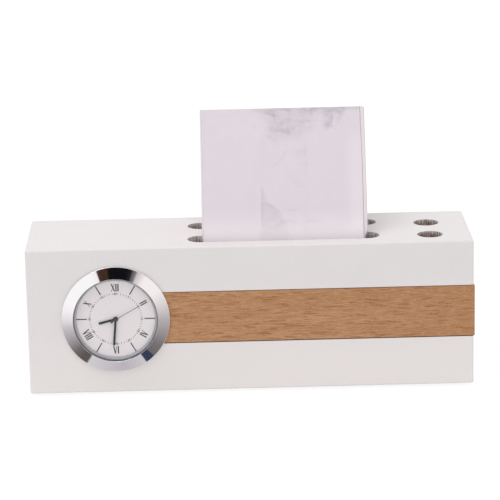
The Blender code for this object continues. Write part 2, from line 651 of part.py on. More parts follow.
def make_lens_and_dial():
    """The flat lens, the sloped ring behind it and the dial."""
    lens_radius = BEZEL_LIP_RADIUS - LENS_FIT
    turned("lens", ((0.0, LENS_FRONT), (lens_radius - LENS_EDGE, LENS_FRONT),
                    (lens_radius, LENS_FRONT - LENS_EDGE), (lens_radius, LENS_BACK), (0.0, LENS_BACK)),
           FINE_SIDES, CLEAR, CLOCK)
    ring_radius = PLATE_RADIUS
    ring_foot = DIAL_RING_TOP - DIAL_RING_HEIGHT
    turned("dial_ring", ((ring_radius, DIAL_RING_TOP), (ring_radius, ring_foot),
                         (ring_radius - DIAL_RING_FOOT_WALL, ring_foot),
                         (ring_radius - DIAL_RING_TOP_WALL, DIAL_RING_TOP)),
           FINE_SIDES, GREY_PLASTIC, CLOCK, closed=True)
    turned("dial", ((ring_radius, DIAL_TOP), (ring_radius, DIAL_BACK),
                    (DIAL_HOLE_RADIUS, DIAL_BACK), (DIAL_HOLE_RADIUS, DIAL_TOP)),
           ROUND_SIDES, DIAL_WHITE, CLOCK, closed=True)


def make_case():
    """The plastic cup with its flange, hatch opening and knob hole, and the ribbed gasket."""
    case = turned("case_shell", ((0.0, CASE_FLOOR), (CASE_INNER_RADIUS, CASE_FLOOR),
                                 (CASE_INNER_RADIUS, CASE_FLANGE_TOP),
                                 (CASE_FLANGE_RADIUS, CASE_FLANGE_TOP), (CASE_FLANGE_RADIUS, SEAT_GAP),
                                 (CASE_RADIUS, SEAT_GAP), (CASE_RADIUS, CASE_BACK + CASE_BACK_EDGE),
                                 (CASE_RADIUS - CASE_BACK_EDGE, CASE_BACK), (0.0, CASE_BACK)),
                  ROUND_SIDES, BLACK_PLASTIC, CLOCK)
    low = CASE_BACK - CUT_OVERRUN
    high = CASE_FLOOR + CUT_OVERRUN
    combine(case, cylinder("hatch_opening", HATCH_RADIUS + HATCH_CLEARANCE, low, high, ROUND_SIDES,
                           BLACK_PLASTIC, CLOCK, BATTERY_AXIS), "DIFFERENCE")
    reach = HATCH_RADIUS + HATCH_LUG_REACH + HATCH_CLEARANCE
    width = HATCH_LUG_WIDTH / 2 + HATCH_CLEARANCE
    notch = box("lug_notches", (-reach, -width, low), (reach, width, high), BLACK_PLASTIC, CLOCK,
                BATTERY_AXIS)
    notch.rotation_euler = (0.0, 0.0, HATCH_TURN)
    combine(case, notch, "DIFFERENCE")
    combine(case, cylinder("knob_hole", MINUTE_SHAFT_RADIUS + PLATE_FIT, low, high, SMALL_SIDES,
                           BLACK_PLASTIC, CLOCK, MINUTE_AXIS), "DIFFERENCE")
    inner = CASE_RADIUS + PLATE_FIT
    valley = inner + GASKET_WALL
    profile = [(valley, GASKET_TOP)]
    for rib in range(GASKET_RIBS):
        top = GASKET_TOP - rib * GASKET_RIB_PITCH
        profile.append((GASKET_RADIUS, top - GASKET_RIB_PITCH / 2))
        profile.append((valley, top - GASKET_RIB_PITCH))
    profile.append((inner, GASKET_TOP - GASKET_RIBS * GASKET_RIB_PITCH))
    profile.append((inner, GASKET_TOP))
    turned("gasket", profile, ROUND_SIDES, RUBBER, CLOCK, closed=True)


def make_main_plate():
    """The plate that carries the train: pierced for the arbors, with rim, pillars and battery cup."""
    rim_inner = PLATE_RADIUS - PLATE_RIM_WALL
    disc_radius = (PLATE_RADIUS + rim_inner) / 2
    holes = [circle(CENTRE_AXIS, CENTRE_TUBE_RADIUS + RUNNING_CLEARANCE, SMALL_SIDES),
             circle(MINUTE_AXIS, MINUTE_SHAFT_RADIUS + RUNNING_CLEARANCE, SMALL_SIDES)]
    for axis in (THIRD_AXIS, INTERMEDIATE_AXIS, ROTOR_AXIS):
        holes.append(circle(axis, ARBOR_RADIUS + RUNNING_CLEARANCE, SMALL_SIDES))
    main = plate("main_plate", circle(CENTRE_AXIS, disc_radius, ROUND_SIDES), holes, PLATE_BACK, PLATE_TOP,
                 BLACK_PLASTIC, CLOCK)
    rim_low = PLATE_TOP - PLATE_THICKNESS / 2
    rim = turned("plate_rim", ((PLATE_RADIUS, DIAL_BACK - STACK_GAP), (PLATE_RADIUS, rim_low),
                               (rim_inner, rim_low), (rim_inner, DIAL_BACK - STACK_GAP)),
                 ROUND_SIDES, BLACK_PLASTIC, CLOCK, closed=True)
    combine(main, rim, "UNION")
    sunk = PLATE_BACK + PLATE_THICKNESS / 2
    bore = SCREW_RADIUS + RUNNING_CLEARANCE
    for number, axis in enumerate(BRIDGE_SCREWS, 1):
        depth = BRIDGE_TOP + SCREW_REACH
        pillar = turned("pillar_%d" % number,
                        ((0.0, sunk), (PILLAR_SHOULDER_RADIUS, sunk),
                         (PILLAR_SHOULDER_RADIUS, PILLAR_SHOULDER), (PILLAR_RADIUS, PILLAR_SHOULDER),
                         (PILLAR_RADIUS, PILLAR_BACK), (bore, PILLAR_BACK), (bore, depth), (0.0, depth)),
                        PIN_SIDES, BLACK_PLASTIC, CLOCK, axis)
        combine(main, pillar, "UNION")
    cup_inner = BATTERY_RADIUS + CUP_CLEARANCE
    cup_outer = cup_inner + CUP_WALL
    outline = arc((0.0, 0.0), cup_outer, CUP_OPENING_END, CUP_OPENING_START + math.tau, ROUND_SIDES // 2)
    outline += arc((0.0, 0.0), cup_inner, CUP_OPENING_START + math.tau, CUP_OPENING_END, ROUND_SIDES // 2)
    combine(main, plate("battery_cup", outline, (), CUP_BACK, sunk, BLACK_PLASTIC, CLOCK, BATTERY_AXIS),
            "UNION")
    for side in (-1, 1):
        post_axis = (BOARD_CENTRE[0] + side * (BOARD_SIZE[0] / 2 - BOARD_POST_INSET),
                     BOARD_CENTRE[1] - BOARD_SIZE[1] / 2 + BOARD_POST_INSET)
        name = "board_post_left" if side < 0 else "board_post_right"
        post = cylinder(name, BOARD_POST_RADIUS, BOARD_TOP + SEAT_GAP, sunk, PIN_SIDES, BLACK_PLASTIC,
                        CLOCK, post_axis)
        combine(main, post, "UNION")


def make_bridge():
    """The rear plate over the train, cut straight below the battery, and its three screws."""
    half_chord = math.acos(BRIDGE_CHORD_SHARE)
    outline = arc(CENTRE_AXIS, BRIDGE_RADIUS, math.pi / 2 + half_chord, math.pi / 2 - half_chord + math.tau,
                  ROUND_SIDES // 2)
    holes = [circle(CENTRE_AXIS, SECONDS_ARBOR_RADIUS + RUNNING_CLEARANCE, PIN_SIDES),
             circle(MINUTE_AXIS, MINUTE_SHAFT_RADIUS + RUNNING_CLEARANCE, SMALL_SIDES)]
    for axis in (THIRD_AXIS, INTERMEDIATE_AXIS, ROTOR_AXIS):
        holes.append(circle(axis, ARBOR_RADIUS + RUNNING_CLEARANCE, SMALL_SIDES))
    for axis in BRIDGE_SCREWS:
        holes.append(circle(axis, SCREW_RADIUS + RUNNING_CLEARANCE, SMALL_SIDES))
    plate("train_bridge", outline, holes, BRIDGE_BACK, BRIDGE_TOP, STEEL, CLOCK)
    head_top, head_back = SCREW_HEAD_TOP, SCREW_HEAD_BACK
    tip = BRIDGE_TOP + SCREW_REACH - STACK_GAP
    for number, axis in enumerate(BRIDGE_SCREWS, 1):
        screw = turned("bridge_screw_%d" % number,
                       ((0.0, tip), (SCREW_RADIUS, tip), (SCREW_RADIUS, head_top),
                        (SCREW_HEAD_RADIUS, head_top), (SCREW_HEAD_RADIUS, head_back), (0.0, head_back)),
                       PIN_SIDES, STEEL, CLOCK, axis)
        reach = SCREW_HEAD_RADIUS + CUT_OVERRUN
        slot = box("screw_slot_%d" % number,
                   (-reach, -SCREW_SLOT_WIDTH / 2, head_back - CUT_OVERRUN),
                   (reach, SCREW_SLOT_WIDTH / 2, head_back + SCREW_SLOT_DEPTH), STEEL, CLOCK, axis)
        combine(screw, slot, "DIFFERENCE")


def make_motor():
    """The stator round the rotor, and the coil on its core between the two screws."""
    left, right = COIL_SCREWS
    ring = MAGNET_RADIUS + STATOR_AIR_GAP + STATOR_RING_WALL
    pad = CORE_PAD_RADIUS
    bar_low = STATOR_BAR_TOP - STATOR_BAR_WIDTH
    outline = arc(right, pad, math.pi, math.tau, ARC_STEPS)
    outline += arc(ROTOR_AXIS, ring, STATOR_RING_START, STATOR_RING_END, LONG_ARC_STEPS)
    outline += [(ROTOR_AXIS[0] - ring, STATOR_BAR_TOP), (left[0] - pad, STATOR_BAR_TOP)]
    outline += arc(left, pad, math.pi, math.tau, ARC_STEPS)
    outline += [(left[0] + pad, bar_low), (ROTOR_AXIS[0] - STATOR_LEG_INSET, bar_low)]
    outline += arc(ROTOR_AXIS, ring, STATOR_FOOT_START, STATOR_FOOT_END, ARC_STEPS // 2)
    bore = []
    for i in range(SMALL_SIDES):
        angle = math.tau * (i + 0.5) / SMALL_SIDES
        deeper = STATOR_NOTCH if i % (SMALL_SIDES // 2) in (2, 3) else 0.0
        bore.append(polar(MAGNET_RADIUS + STATOR_AIR_GAP + deeper, angle, ROTOR_AXIS))
    pillar_hole = PILLAR_RADIUS + STACK_GAP
    pillar_holes = [circle(axis, pillar_hole, SMALL_SIDES) for axis in COIL_SCREWS]
    plate("stator", outline, [bore, *pillar_holes], STATOR_TOP - STATOR_THICKNESS, STATOR_TOP, STEEL, CLOCK)

    neck = math.asin(CORE_WIDTH / 2 / pad)
    outline = arc(left, pad, neck, math.tau - neck, LONG_ARC_STEPS)
    outline += arc(right, pad, math.pi + neck, 3 * math.pi - neck, LONG_ARC_STEPS)
    core_back = CORE_TOP - CORE_THICKNESS
    plate("coil_core", outline, pillar_holes, core_back, CORE_TOP, STEEL, CLOCK)

    coil = new_empty("coil_axis", (0.0, COIL_Y, (CORE_TOP + core_back) / 2), (0.0, math.pi / 2, 0.0))
    coil.parent = CLOCK
    end = BOBBIN_HALF_LENGTH
    web = end - BOBBIN_FLANGE_THICKNESS
    tube_bore = math.hypot(CORE_WIDTH / 2, CORE_THICKNESS / 2) + BOBBIN_BORE_CLEARANCE
    tube = tube_bore + BOBBIN_WALL
    turned("coil_bobbin", ((BOBBIN_FLANGE_RADIUS, end), (BOBBIN_FLANGE_RADIUS, web), (tube, web),
                           (tube, -web), (BOBBIN_FLANGE_RADIUS, -web), (BOBBIN_FLANGE_RADIUS, -end),
                           (tube_bore, -end), (tube_bore, end)),
           SMALL_SIDES, WHITE_PLASTIC, coil, closed=True)
    inner = tube + WINDING_GAP
    reach = web - WINDING_GAP
    turned("coil_winding", ((WINDING_RADIUS, reach), (WINDING_RADIUS, -reach),
                            (inner, -reach), (inner, reach)),
           SMALL_SIDES, COPPER, coil, closed=True)


def make_rotor(pinion_phase):
    """The magnet on its pinion's arbor."""
    top = pinion_top(INTERMEDIATE_WHEEL_TOP)
    pinion = gear("rotor_pinion", ROTOR_TEETH, ROTOR_MODULE, top, PINION_THICKNESS, pinion_phase, STEEL,
                  ROTOR_AXIS)
    add_arbor(pinion, "rotor_arbor", ARBOR_RADIUS, PLATE_BACK + PIVOT_REACH, BRIDGE_TOP - PIVOT_REACH,
              ROTOR_AXIS)
    bore = ARBOR_RADIUS + HAND_FIT
    turned("rotor_magnet", ((MAGNET_RADIUS, MAGNET_TOP), (MAGNET_RADIUS, MAGNET_TOP - MAGNET_LENGTH),
                            (bore, MAGNET_TOP - MAGNET_LENGTH), (bore, MAGNET_TOP)),
           SMALL_SIDES, MAGNET, CLOCK, ROTOR_AXIS, closed=True)


def add_arbor(wheel, name, radius, high, low, axis):
    """Join a wheel to the arbor that runs through it."""
    combine(wheel, cylinder(name, radius, low, high, PIN_SIDES, STEEL, CLOCK, axis), "UNION")


def add_bore(wheel, name, radius, high, low, axis):
    """Cut the bore that another arbor runs through."""
    bore = cylinder(name, radius, low - CUT_OVERRUN, high + CUT_OVERRUN, PIN_SIDES, STEEL, CLOCK, axis)
    combine(wheel, bore, "DIFFERENCE")


def make_train():
    """The wheels between the rotor and the hands, in mesh at rest."""
    third_phase = meshing_phase(0.0, CENTRE_WHEEL_TEETH, THIRD_PINION_TEETH, THIRD_DIRECTION)
    seconds_phase = meshing_phase(0.0, THIRD_WHEEL_TEETH, SECONDS_PINION_TEETH, THIRD_DIRECTION + math.pi)
    intermediate_phase = meshing_phase(0.0, SECONDS_WHEEL_TEETH, INTERMEDIATE_PINION_TEETH,
                                       INTERMEDIATE_DIRECTION)
    rotor_phase = meshing_phase(0.0, INTERMEDIATE_WHEEL_TEETH, ROTOR_TEETH, ROTOR_DIRECTION)
    minute_phase = meshing_phase(0.0, CANNON_TEETH, MINUTE_WHEEL_TEETH, MINUTE_DIRECTION)
    hour_phase = meshing_phase(0.0, MINUTE_PINION_TEETH, HOUR_WHEEL_TEETH, MINUTE_DIRECTION + math.pi)
    pivot_front = PLATE_BACK + PIVOT_REACH
    pivot_back = BRIDGE_TOP - PIVOT_REACH

    centre = gear("centre_wheel", CENTRE_WHEEL_TEETH, CENTRE_MODULE, CENTRE_WHEEL_TOP, WHEEL_THICKNESS, 0.0,
                  BRASS, CENTRE_AXIS)
    cannon = gear("cannon_pinion", CANNON_TEETH, CANNON_MODULE, pinion_top(MINUTE_WHEEL_TOP),
                  PINION_THICKNESS, 0.0, BRASS, CENTRE_AXIS)
    combine(centre, cannon, "UNION")
    tube_low = CENTRE_WHEEL_TOP - WHEEL_THICKNESS - PINION_OVERHANG
    add_arbor(centre, "centre_tube", CENTRE_TUBE_RADIUS, MINUTE_HAND_TOP, tube_low, CENTRE_AXIS)
    add_bore(centre, "centre_bore", SECONDS_ARBOR_RADIUS + RUNNING_CLEARANCE, MINUTE_HAND_TOP, tube_low,
             CENTRE_AXIS)

    third = gear("third_wheel", THIRD_WHEEL_TEETH, SECONDS_PINION_MODULE, THIRD_WHEEL_TOP, WHEEL_THICKNESS,
                 0.0, BRASS, THIRD_AXIS)
    combine(third, gear("third_pinion", THIRD_PINION_TEETH, CENTRE_MODULE, pinion_top(CENTRE_WHEEL_TOP),
                        PINION_THICKNESS, third_phase, STEEL, THIRD_AXIS), "UNION")
    add_arbor(third, "third_arbor", ARBOR_RADIUS, pivot_front, pivot_back, THIRD_AXIS)

    seconds = gear("seconds_wheel", SECONDS_WHEEL_TEETH, SECONDS_MODULE, SECONDS_WHEEL_TOP,
                   WHEEL_THICKNESS, 0.0, BRASS, CENTRE_AXIS)
    combine(seconds, gear("seconds_pinion", SECONDS_PINION_TEETH, SECONDS_PINION_MODULE,
                          pinion_top(THIRD_WHEEL_TOP), PINION_THICKNESS, seconds_phase, STEEL, CENTRE_AXIS),
            "UNION")
    add_arbor(seconds, "seconds_arbor", SECONDS_ARBOR_RADIUS, SECOND_HAND_TOP, pivot_back, CENTRE_AXIS)

    intermediate = gear("intermediate_wheel", INTERMEDIATE_WHEEL_TEETH, ROTOR_MODULE, INTERMEDIATE_WHEEL_TOP,
                        WHEEL_THICKNESS, 0.0, BRASS, INTERMEDIATE_AXIS)
    combine(intermediate, gear("intermediate_pinion", INTERMEDIATE_PINION_TEETH, SECONDS_MODULE,
                               pinion_top(SECONDS_WHEEL_TOP), PINION_THICKNESS, intermediate_phase, STEEL,
                               INTERMEDIATE_AXIS), "UNION")
    add_arbor(intermediate, "intermediate_arbor", ARBOR_RADIUS, pivot_front, pivot_back, INTERMEDIATE_AXIS)
    make_rotor(rotor_phase)

    minute = gear("minute_wheel", MINUTE_WHEEL_TEETH, CANNON_MODULE, MINUTE_WHEEL_TOP, WHEEL_THICKNESS,
                  minute_phase, WHITE_PLASTIC, MINUTE_AXIS)
    shaft_front = pinion_top(HOUR_WHEEL_TOP)
    combine(minute, gear("minute_pinion", MINUTE_PINION_TEETH, HOUR_MODULE, shaft_front, PINION_THICKNESS,
                         0.0, WHITE_PLASTIC, MINUTE_AXIS), "UNION")
    add_arbor(minute, "minute_shaft", MINUTE_SHAFT_RADIUS, shaft_front - PINION_OVERHANG,
              KNOB_BACK + KNOB_END_WALL + HAND_FIT, MINUTE_AXIS)

    hour = gear("hour_wheel", HOUR_WHEEL_TEETH, HOUR_MODULE, HOUR_WHEEL_TOP, WHEEL_THICKNESS, hour_phase,
                WHITE_PLASTIC, CENTRE_AXIS)
    pipe_low = HOUR_WHEEL_TOP - WHEEL_THICKNESS / 2
    add_arbor(hour, "hour_pipe", HOUR_PIPE_RADIUS, HOUR_HAND_TOP, pipe_low, CENTRE_AXIS)
    add_bore(hour, "hour_bore", HOUR_PIPE_BORE, HOUR_HAND_TOP, pipe_low - WHEEL_THICKNESS, CENTRE_AXIS)


def make_knob():
    """The fluted setting knob on the minute wheel's shaft, behind the case."""
    outline = []
    for flute in range(KNOB_FLUTES):
        angle = math.tau * flute / KNOB_FLUTES
        outline.append(polar(KNOB_RADIUS, angle))
        outline.append(polar(KNOB_RADIUS, angle + math.pi / KNOB_FLUTES))
        outline.append(polar(KNOB_RADIUS - KNOB_FLUTE_DEPTH, angle + 1.5 * math.pi / KNOB_FLUTES))
    knob = plate("set_knob", outline, (), KNOB_BACK, KNOB_TOP, BLACK_PLASTIC, CLOCK, MINUTE_AXIS)
    bore = cylinder("knob_bore", MINUTE_SHAFT_RADIUS + HAND_FIT, KNOB_BACK + KNOB_END_WALL,
                    KNOB_TOP + CUT_OVERRUN, PIN_SIDES, BLACK_PLASTIC, CLOCK, MINUTE_AXIS)
    combine(knob, bore, "DIFFERENCE")


def make_hand(name, top, length, width, tail, tail_width, hub_radius, bore_radius, angle, material):
    """A flat hand: a straight blade, a round hub and any tail, pointing up before it is turned."""
    half = width / 2
    lean = math.asin(half / hub_radius)
    if tail:
        outline = arc(CENTRE_AXIS, hub_radius, math.pi / 2 + lean, 1.5 * math.pi - 2 * lean, ARC_STEPS)
        outline += [(-tail_width / 2, -tail), (tail_width / 2, -tail)]
        outline += arc(CENTRE_AXIS, hub_radius, 1.5 * math.pi + 2 * lean, 2.5 * math.pi - lean, ARC_STEPS)
    else:
        outline = arc(CENTRE_AXIS, hub_radius, math.pi / 2 + lean, 2.5 * math.pi - lean, 2 * ARC_STEPS)
    outline += [(half, length), (-half, length)]
    hand = plate(name, outline, [circle(CENTRE_AXIS, bore_radius, SMALL_SIDES)], top - HAND_THICKNESS, top,
                 material, CLOCK)
    hand.rotation_euler = (0.0, 0.0, -angle)


def make_hands():
    """The three hands, each on its own arbor."""
    make_hand("hour_hand", HOUR_HAND_TOP, HOUR_HAND_LENGTH, HOUR_HAND_WIDTH, 0.0, 0.0, HOUR_HUB_RADIUS,
              HOUR_PIPE_RADIUS + HAND_FIT, HOUR_ANGLE, HAND_BLACK)
    make_hand("minute_hand", MINUTE_HAND_TOP, MINUTE_HAND_LENGTH, MINUTE_HAND_WIDTH, 0.0, 0.0,
              MINUTE_HUB_RADIUS, CENTRE_TUBE_RADIUS + HAND_FIT, MINUTE_ANGLE, HAND_BLACK)
    make_hand("second_hand", SECOND_HAND_TOP, SECOND_HAND_LENGTH, SECOND_HAND_WIDTH, SECOND_HAND_TAIL,
              SECOND_TAIL_WIDTH, SECOND_HUB_RADIUS, SECONDS_ARBOR_RADIUS + HAND_FIT, SECOND_ANGLE, HAND_BROWN)


def make_battery():
    """The button cell in its cup, the two contacts and the coin-slot hatch."""
    cap_top = BATTERY_BACK + BATTERY_THICKNESS
    cap_base = cap_top - BATTERY_CAP_HEIGHT
    turned("battery", ((0.0, cap_top), (BATTERY_CAP_RADIUS, cap_top),
                       (BATTERY_CAP_RADIUS, cap_base), (BATTERY_RADIUS, cap_base),
                       (BATTERY_RADIUS, BATTERY_BACK), (0.0, BATTERY_BACK)),
           SMALL_SIDES, STEEL, CLOCK, BATTERY_AXIS)

    board_left = BOARD_CENTRE[0] - BOARD_SIZE[0] / 2
    board_low = BOARD_CENTRE[1] - BOARD_SIZE[1] / 2 - BATTERY_Y
    tab_right = board_left + BOARD_POST_INSET * 2
    spring_back = cap_top + STACK_GAP
    tab_low = board_low + BOARD_SIZE[1] / 2
    tab_high = tab_low + BOARD_POST_INSET * 2
    outline = arc(CENTRE_AXIS, BATTERY_CAP_RADIUS / 2, CONTACT_MINUS_START, CONTACT_MINUS_END, LONG_ARC_STEPS)
    outline += [(board_left, tab_low), (tab_right, tab_low), (tab_right, tab_high), (board_left, tab_high)]
    plate("contact_minus", outline, (), spring_back, spring_back + CONTACT_THICKNESS, BRASS, CLOCK,
          BATTERY_AXIS)

    inner = BATTERY_RADIUS + CUP_CLEARANCE / 2
    outer = inner + CONTACT_THICKNESS
    start = CUP_OPENING_START + CONTACT_MARGIN
    end = CUP_OPENING_END - CONTACT_MARGIN
    tab_y = polar(outer, end)[1]
    outline = arc(CENTRE_AXIS, inner, start, end, ARC_STEPS)
    outline += [(tab_right, tab_y), (tab_right, tab_y - CONTACT_THICKNESS)]
    outline += arc(CENTRE_AXIS, outer, end - CONTACT_THICKNESS / outer, start, ARC_STEPS)
    leaf_top = BOARD_TOP - BOARD_THICKNESS - SEAT_GAP
    plate("contact_plus", outline, (), leaf_top - CONTACT_PLUS_DEPTH, leaf_top, BRASS, CLOCK, BATTERY_AXIS)

    face = CASE_BACK + HATCH_RECESS
    boss_radius = HATCH_RADIUS - HATCH_BOSS_INSET
    hatch = turned("battery_hatch", ((0.0, HATCH_BOSS_TOP), (boss_radius, HATCH_BOSS_TOP),
                                     (boss_radius, HATCH_LUG_TOP), (HATCH_RADIUS, HATCH_LUG_TOP),
                                     (HATCH_RADIUS, face), (0.0, face)),
                   ROUND_SIDES, BLACK_PLASTIC, CLOCK, BATTERY_AXIS)
    reach = HATCH_RADIUS + HATCH_LUG_REACH
    lugs = box("hatch_lugs", (-reach, -HATCH_LUG_WIDTH / 2, HATCH_SHOULDER),
               (reach, HATCH_LUG_WIDTH / 2, HATCH_LUG_TOP - HATCH_RECESS),
               BLACK_PLASTIC, CLOCK, BATTERY_AXIS)
    combine(hatch, lugs, "UNION")
    slot_end = HATCH_RADIUS - HATCH_SLOT_END_WALL
    slot = box("coin_slot", (-slot_end, -HATCH_SLOT_WIDTH / 2, face - CUT_OVERRUN),
               (slot_end, HATCH_SLOT_WIDTH / 2, face + HATCH_SLOT_DEPTH),
               BLACK_PLASTIC, CLOCK, BATTERY_AXIS)
    combine(hatch, slot, "DIFFERENCE")


def make_circuit():
    """The circuit board with its chip and the quartz crystal in its can."""
    x, y = BOARD_CENTRE
    width, height = BOARD_SIZE
    back = BOARD_TOP - BOARD_THICKNESS
    box("circuit_board", (-width / 2, -height / 2, back), (width / 2, height / 2, BOARD_TOP), BOARD_GREEN,
        CLOCK, BOARD_CENTRE)
    seat = back - SEAT_GAP
    half_chip = CHIP_SIZE / 2
    box("clock_chip", (-half_chip, -half_chip, seat - CHIP_HEIGHT), (half_chip, half_chip, seat),
        BLACK_PLASTIC, CLOCK, (x, y - height / 2 + half_chip))
    half_can = height / 2 - CRYSTAL_END_ROOM
    crystal = cylinder("quartz_crystal", CRYSTAL_RADIUS, -half_can, half_can, PIN_SIDES, STEEL, CLOCK,
                       (x + width / 2 - CRYSTAL_FROM_EDGE, y))
    crystal.location.z = seat - CRYSTAL_RADIUS
    crystal.rotation_euler = (math.pi / 2, 0.0, 0.0)


make_block()
make_strip()
make_note_pad()
make_bezel()
make_lens_and_dial()
make_case()
make_main_plate()
make_bridge()
make_motor()
make_train()
make_knob()
make_hands()
make_battery()
make_circuit()
bpy.context.view_layer.update()
print("pieces:", sum(1 for thing in PARTS.objects if thing.type == "MESH"))
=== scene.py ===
# %% [markdown]
# # A desk block with a round clock, dressed for a photograph
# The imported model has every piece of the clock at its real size, but plain. This script gives each
# piece its finish, models again the pieces whose edges and small forms the camera sees, and adds the
# thin film round the note pad. It runs from top to bottom, like a notebook. Lengths are in metres.

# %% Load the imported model
import json
import math
import random

import bmesh
import bpy
import numpy as np
from mathutils import Matrix, Vector


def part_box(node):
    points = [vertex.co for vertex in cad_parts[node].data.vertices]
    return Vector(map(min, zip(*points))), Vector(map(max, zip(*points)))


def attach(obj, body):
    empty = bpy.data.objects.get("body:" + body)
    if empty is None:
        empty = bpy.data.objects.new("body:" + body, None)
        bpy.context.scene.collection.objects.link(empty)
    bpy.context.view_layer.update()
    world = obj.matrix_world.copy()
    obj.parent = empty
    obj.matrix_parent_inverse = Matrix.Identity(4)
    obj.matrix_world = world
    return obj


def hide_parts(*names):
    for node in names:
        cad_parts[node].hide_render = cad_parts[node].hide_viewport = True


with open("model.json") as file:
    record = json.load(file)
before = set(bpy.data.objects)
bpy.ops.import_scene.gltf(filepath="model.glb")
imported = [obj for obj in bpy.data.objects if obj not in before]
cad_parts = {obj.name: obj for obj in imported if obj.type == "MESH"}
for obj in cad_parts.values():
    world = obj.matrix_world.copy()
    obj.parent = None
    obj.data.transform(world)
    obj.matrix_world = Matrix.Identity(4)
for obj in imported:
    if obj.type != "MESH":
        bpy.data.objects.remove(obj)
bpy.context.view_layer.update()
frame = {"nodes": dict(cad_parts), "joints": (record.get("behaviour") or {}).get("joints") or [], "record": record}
nodes = frame["nodes"]

# %% [markdown]
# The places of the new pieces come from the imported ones. The clock's pieces are made lying flat round
# the Z axis and then stood up on the block's front face: x and y lie in the dial, and the third number is
# the height out of the face, towards the viewer.

# %% Places on the block
MM = 0.001
block_low, block_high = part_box("body_block")
bezel_low, bezel_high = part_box("bezel")
clock_centre = Vector(((bezel_low.x + bezel_high.x) / 2, block_low.y, (bezel_low.z + bezel_high.z) / 2))
CLOCK = Matrix.Translation(clock_centre) @ Matrix.Rotation(math.radians(90), 4, "X")


def heights(node):
    """The back and the front of a clock piece, as heights out of the block's face."""
    low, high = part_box(node)
    return block_low.y - high.y, block_low.y - low.y


print("clock centre", [round(value / MM, 2) for value in clock_centre], "dial at", heights("dial"))

# %% [markdown]
# The note pad leans back in its pocket. Its slide joint runs up its face, which gives the lean, and the
# size of the leaning block of sheets follows from its upright box.

# %% Places on the note pad
lift = next(joint for joint in frame["joints"] if joint["name"] == "pad_lift")
lean_sin, lean_cos = lift["axis"][1], lift["axis"][2]
sheets_low, sheets_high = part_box("note_sheets")
reach_y = sheets_high.y - sheets_low.y
reach_z = sheets_high.z - sheets_low.z
spread = lean_cos ** 2 - lean_sin ** 2
pad_height = (reach_z * lean_cos - reach_y * lean_sin) / spread
sheets_depth = (reach_y * lean_cos - reach_z * lean_sin) / spread
pad_width = sheets_high.x - sheets_low.x
pad_corner = Vector(((sheets_low.x + sheets_high.x) / 2, sheets_low.y, sheets_high.z - pad_height * lean_cos))
pad_turn = (-math.asin(lean_sin), 0.0, 0.0)
PAD = Matrix.Translation(pad_corner) @ Matrix.Rotation(pad_turn[0], 4, "X")
print("pad", [round(size / MM, 2) for size in (pad_width, sheets_depth, pad_height)], "mm")

# %% [markdown]
# ## Objects and meshes
# Every shape is built as a bmesh, with bmesh operators. It then becomes a mesh, and an object shows it.
# Both steps come back all through the script.

# %% Objects and meshes
def add_object(name, data):
    """A new object in the scene, at the origin until it is moved."""
    thing = bpy.data.objects.new(name, data)
    bpy.context.scene.collection.objects.link(thing)
    return thing


def to_mesh(name, shape):
    """Turn a bmesh into a mesh."""
    mesh = bpy.data.meshes.new(name)
    shape.to_mesh(mesh)
    shape.free()
    return mesh


# %% [markdown]
# ## Camera
# The photograph was taken from the front, a little above and with a long lens, which keeps the block's
# edges almost parallel. Yaw, pitch and roll turn the camera, and the distance sets the perspective.

# %% Camera
CAMERA_LENS = 187.78
CAMERA_DISTANCE = 1.24792
CAMERA_TARGET = Vector((0.0007, 0.0, 0.06174))
CAMERA_YAW, CAMERA_PITCH, CAMERA_ROLL = -0.0168, 0.2581, -0.0198


def add_camera():
    """A camera that looks at its target along the direction that yaw and pitch give."""
    data = bpy.data.cameras.new("photo_camera")
    data.lens = CAMERA_LENS
    data.sensor_width = 36.0
    data.clip_start, data.clip_end = 0.05, 50.0
    turn = Matrix.Rotation(CAMERA_YAW, 4, "Z") @ Matrix.Rotation(math.radians(90) - CAMERA_PITCH, 4, "X")
    turn = turn @ Matrix.Rotation(CAMERA_ROLL, 4, "Z")
    back = turn @ Vector((0.0, 0.0, CAMERA_DISTANCE))
    camera = add_object("photo_camera", data)
    camera.matrix_world = Matrix.Translation(CAMERA_TARGET + back) @ turn
    bpy.context.scene.camera = camera
    return camera


camera = add_camera()
eye = camera.matrix_world.translation.copy()
bpy.context.scene.view_settings.view_transform = "Standard"
print("camera at", [round(value, 4) for value in eye])

# %% [markdown]
# ## Shader maths as Python
# A material is a network of nodes, and a long one is hard to read as a list of links. Here a socket is
# wrapped in a small class, so that an expression such as `1 - mask * 0.3` adds the Math nodes itself.
# Every other node comes from one method, `add`, which takes its type, its settings and its sockets. A
# finish is a network with a Principled shader at its end.


# %% Sockets that add, multiply and compare
class Value:
    """The output of a node. Arithmetic on it adds Math nodes to the same network."""

    def __init__(self, network, output):
        self.network = network
        self.output = output

    def math(self, operation, first, second=0.0):
        return self.network.add("ShaderNodeMath", {"operation": operation}, {0: first, 1: second})

    def __add__(self, other):
        return self.math("ADD", self, other)

    def __sub__(self, other):
        return self.math("SUBTRACT", self, other)

    def __rsub__(self, other):
        return self.math("SUBTRACT", other, self)

    def __mul__(self, other):
        return self.math("MULTIPLY", self, other)

    def __abs__(self):
        return self.math("ABSOLUTE", self)

    __radd__ = __add__
    __rmul__ = __mul__


print("values add, subtract and multiply")


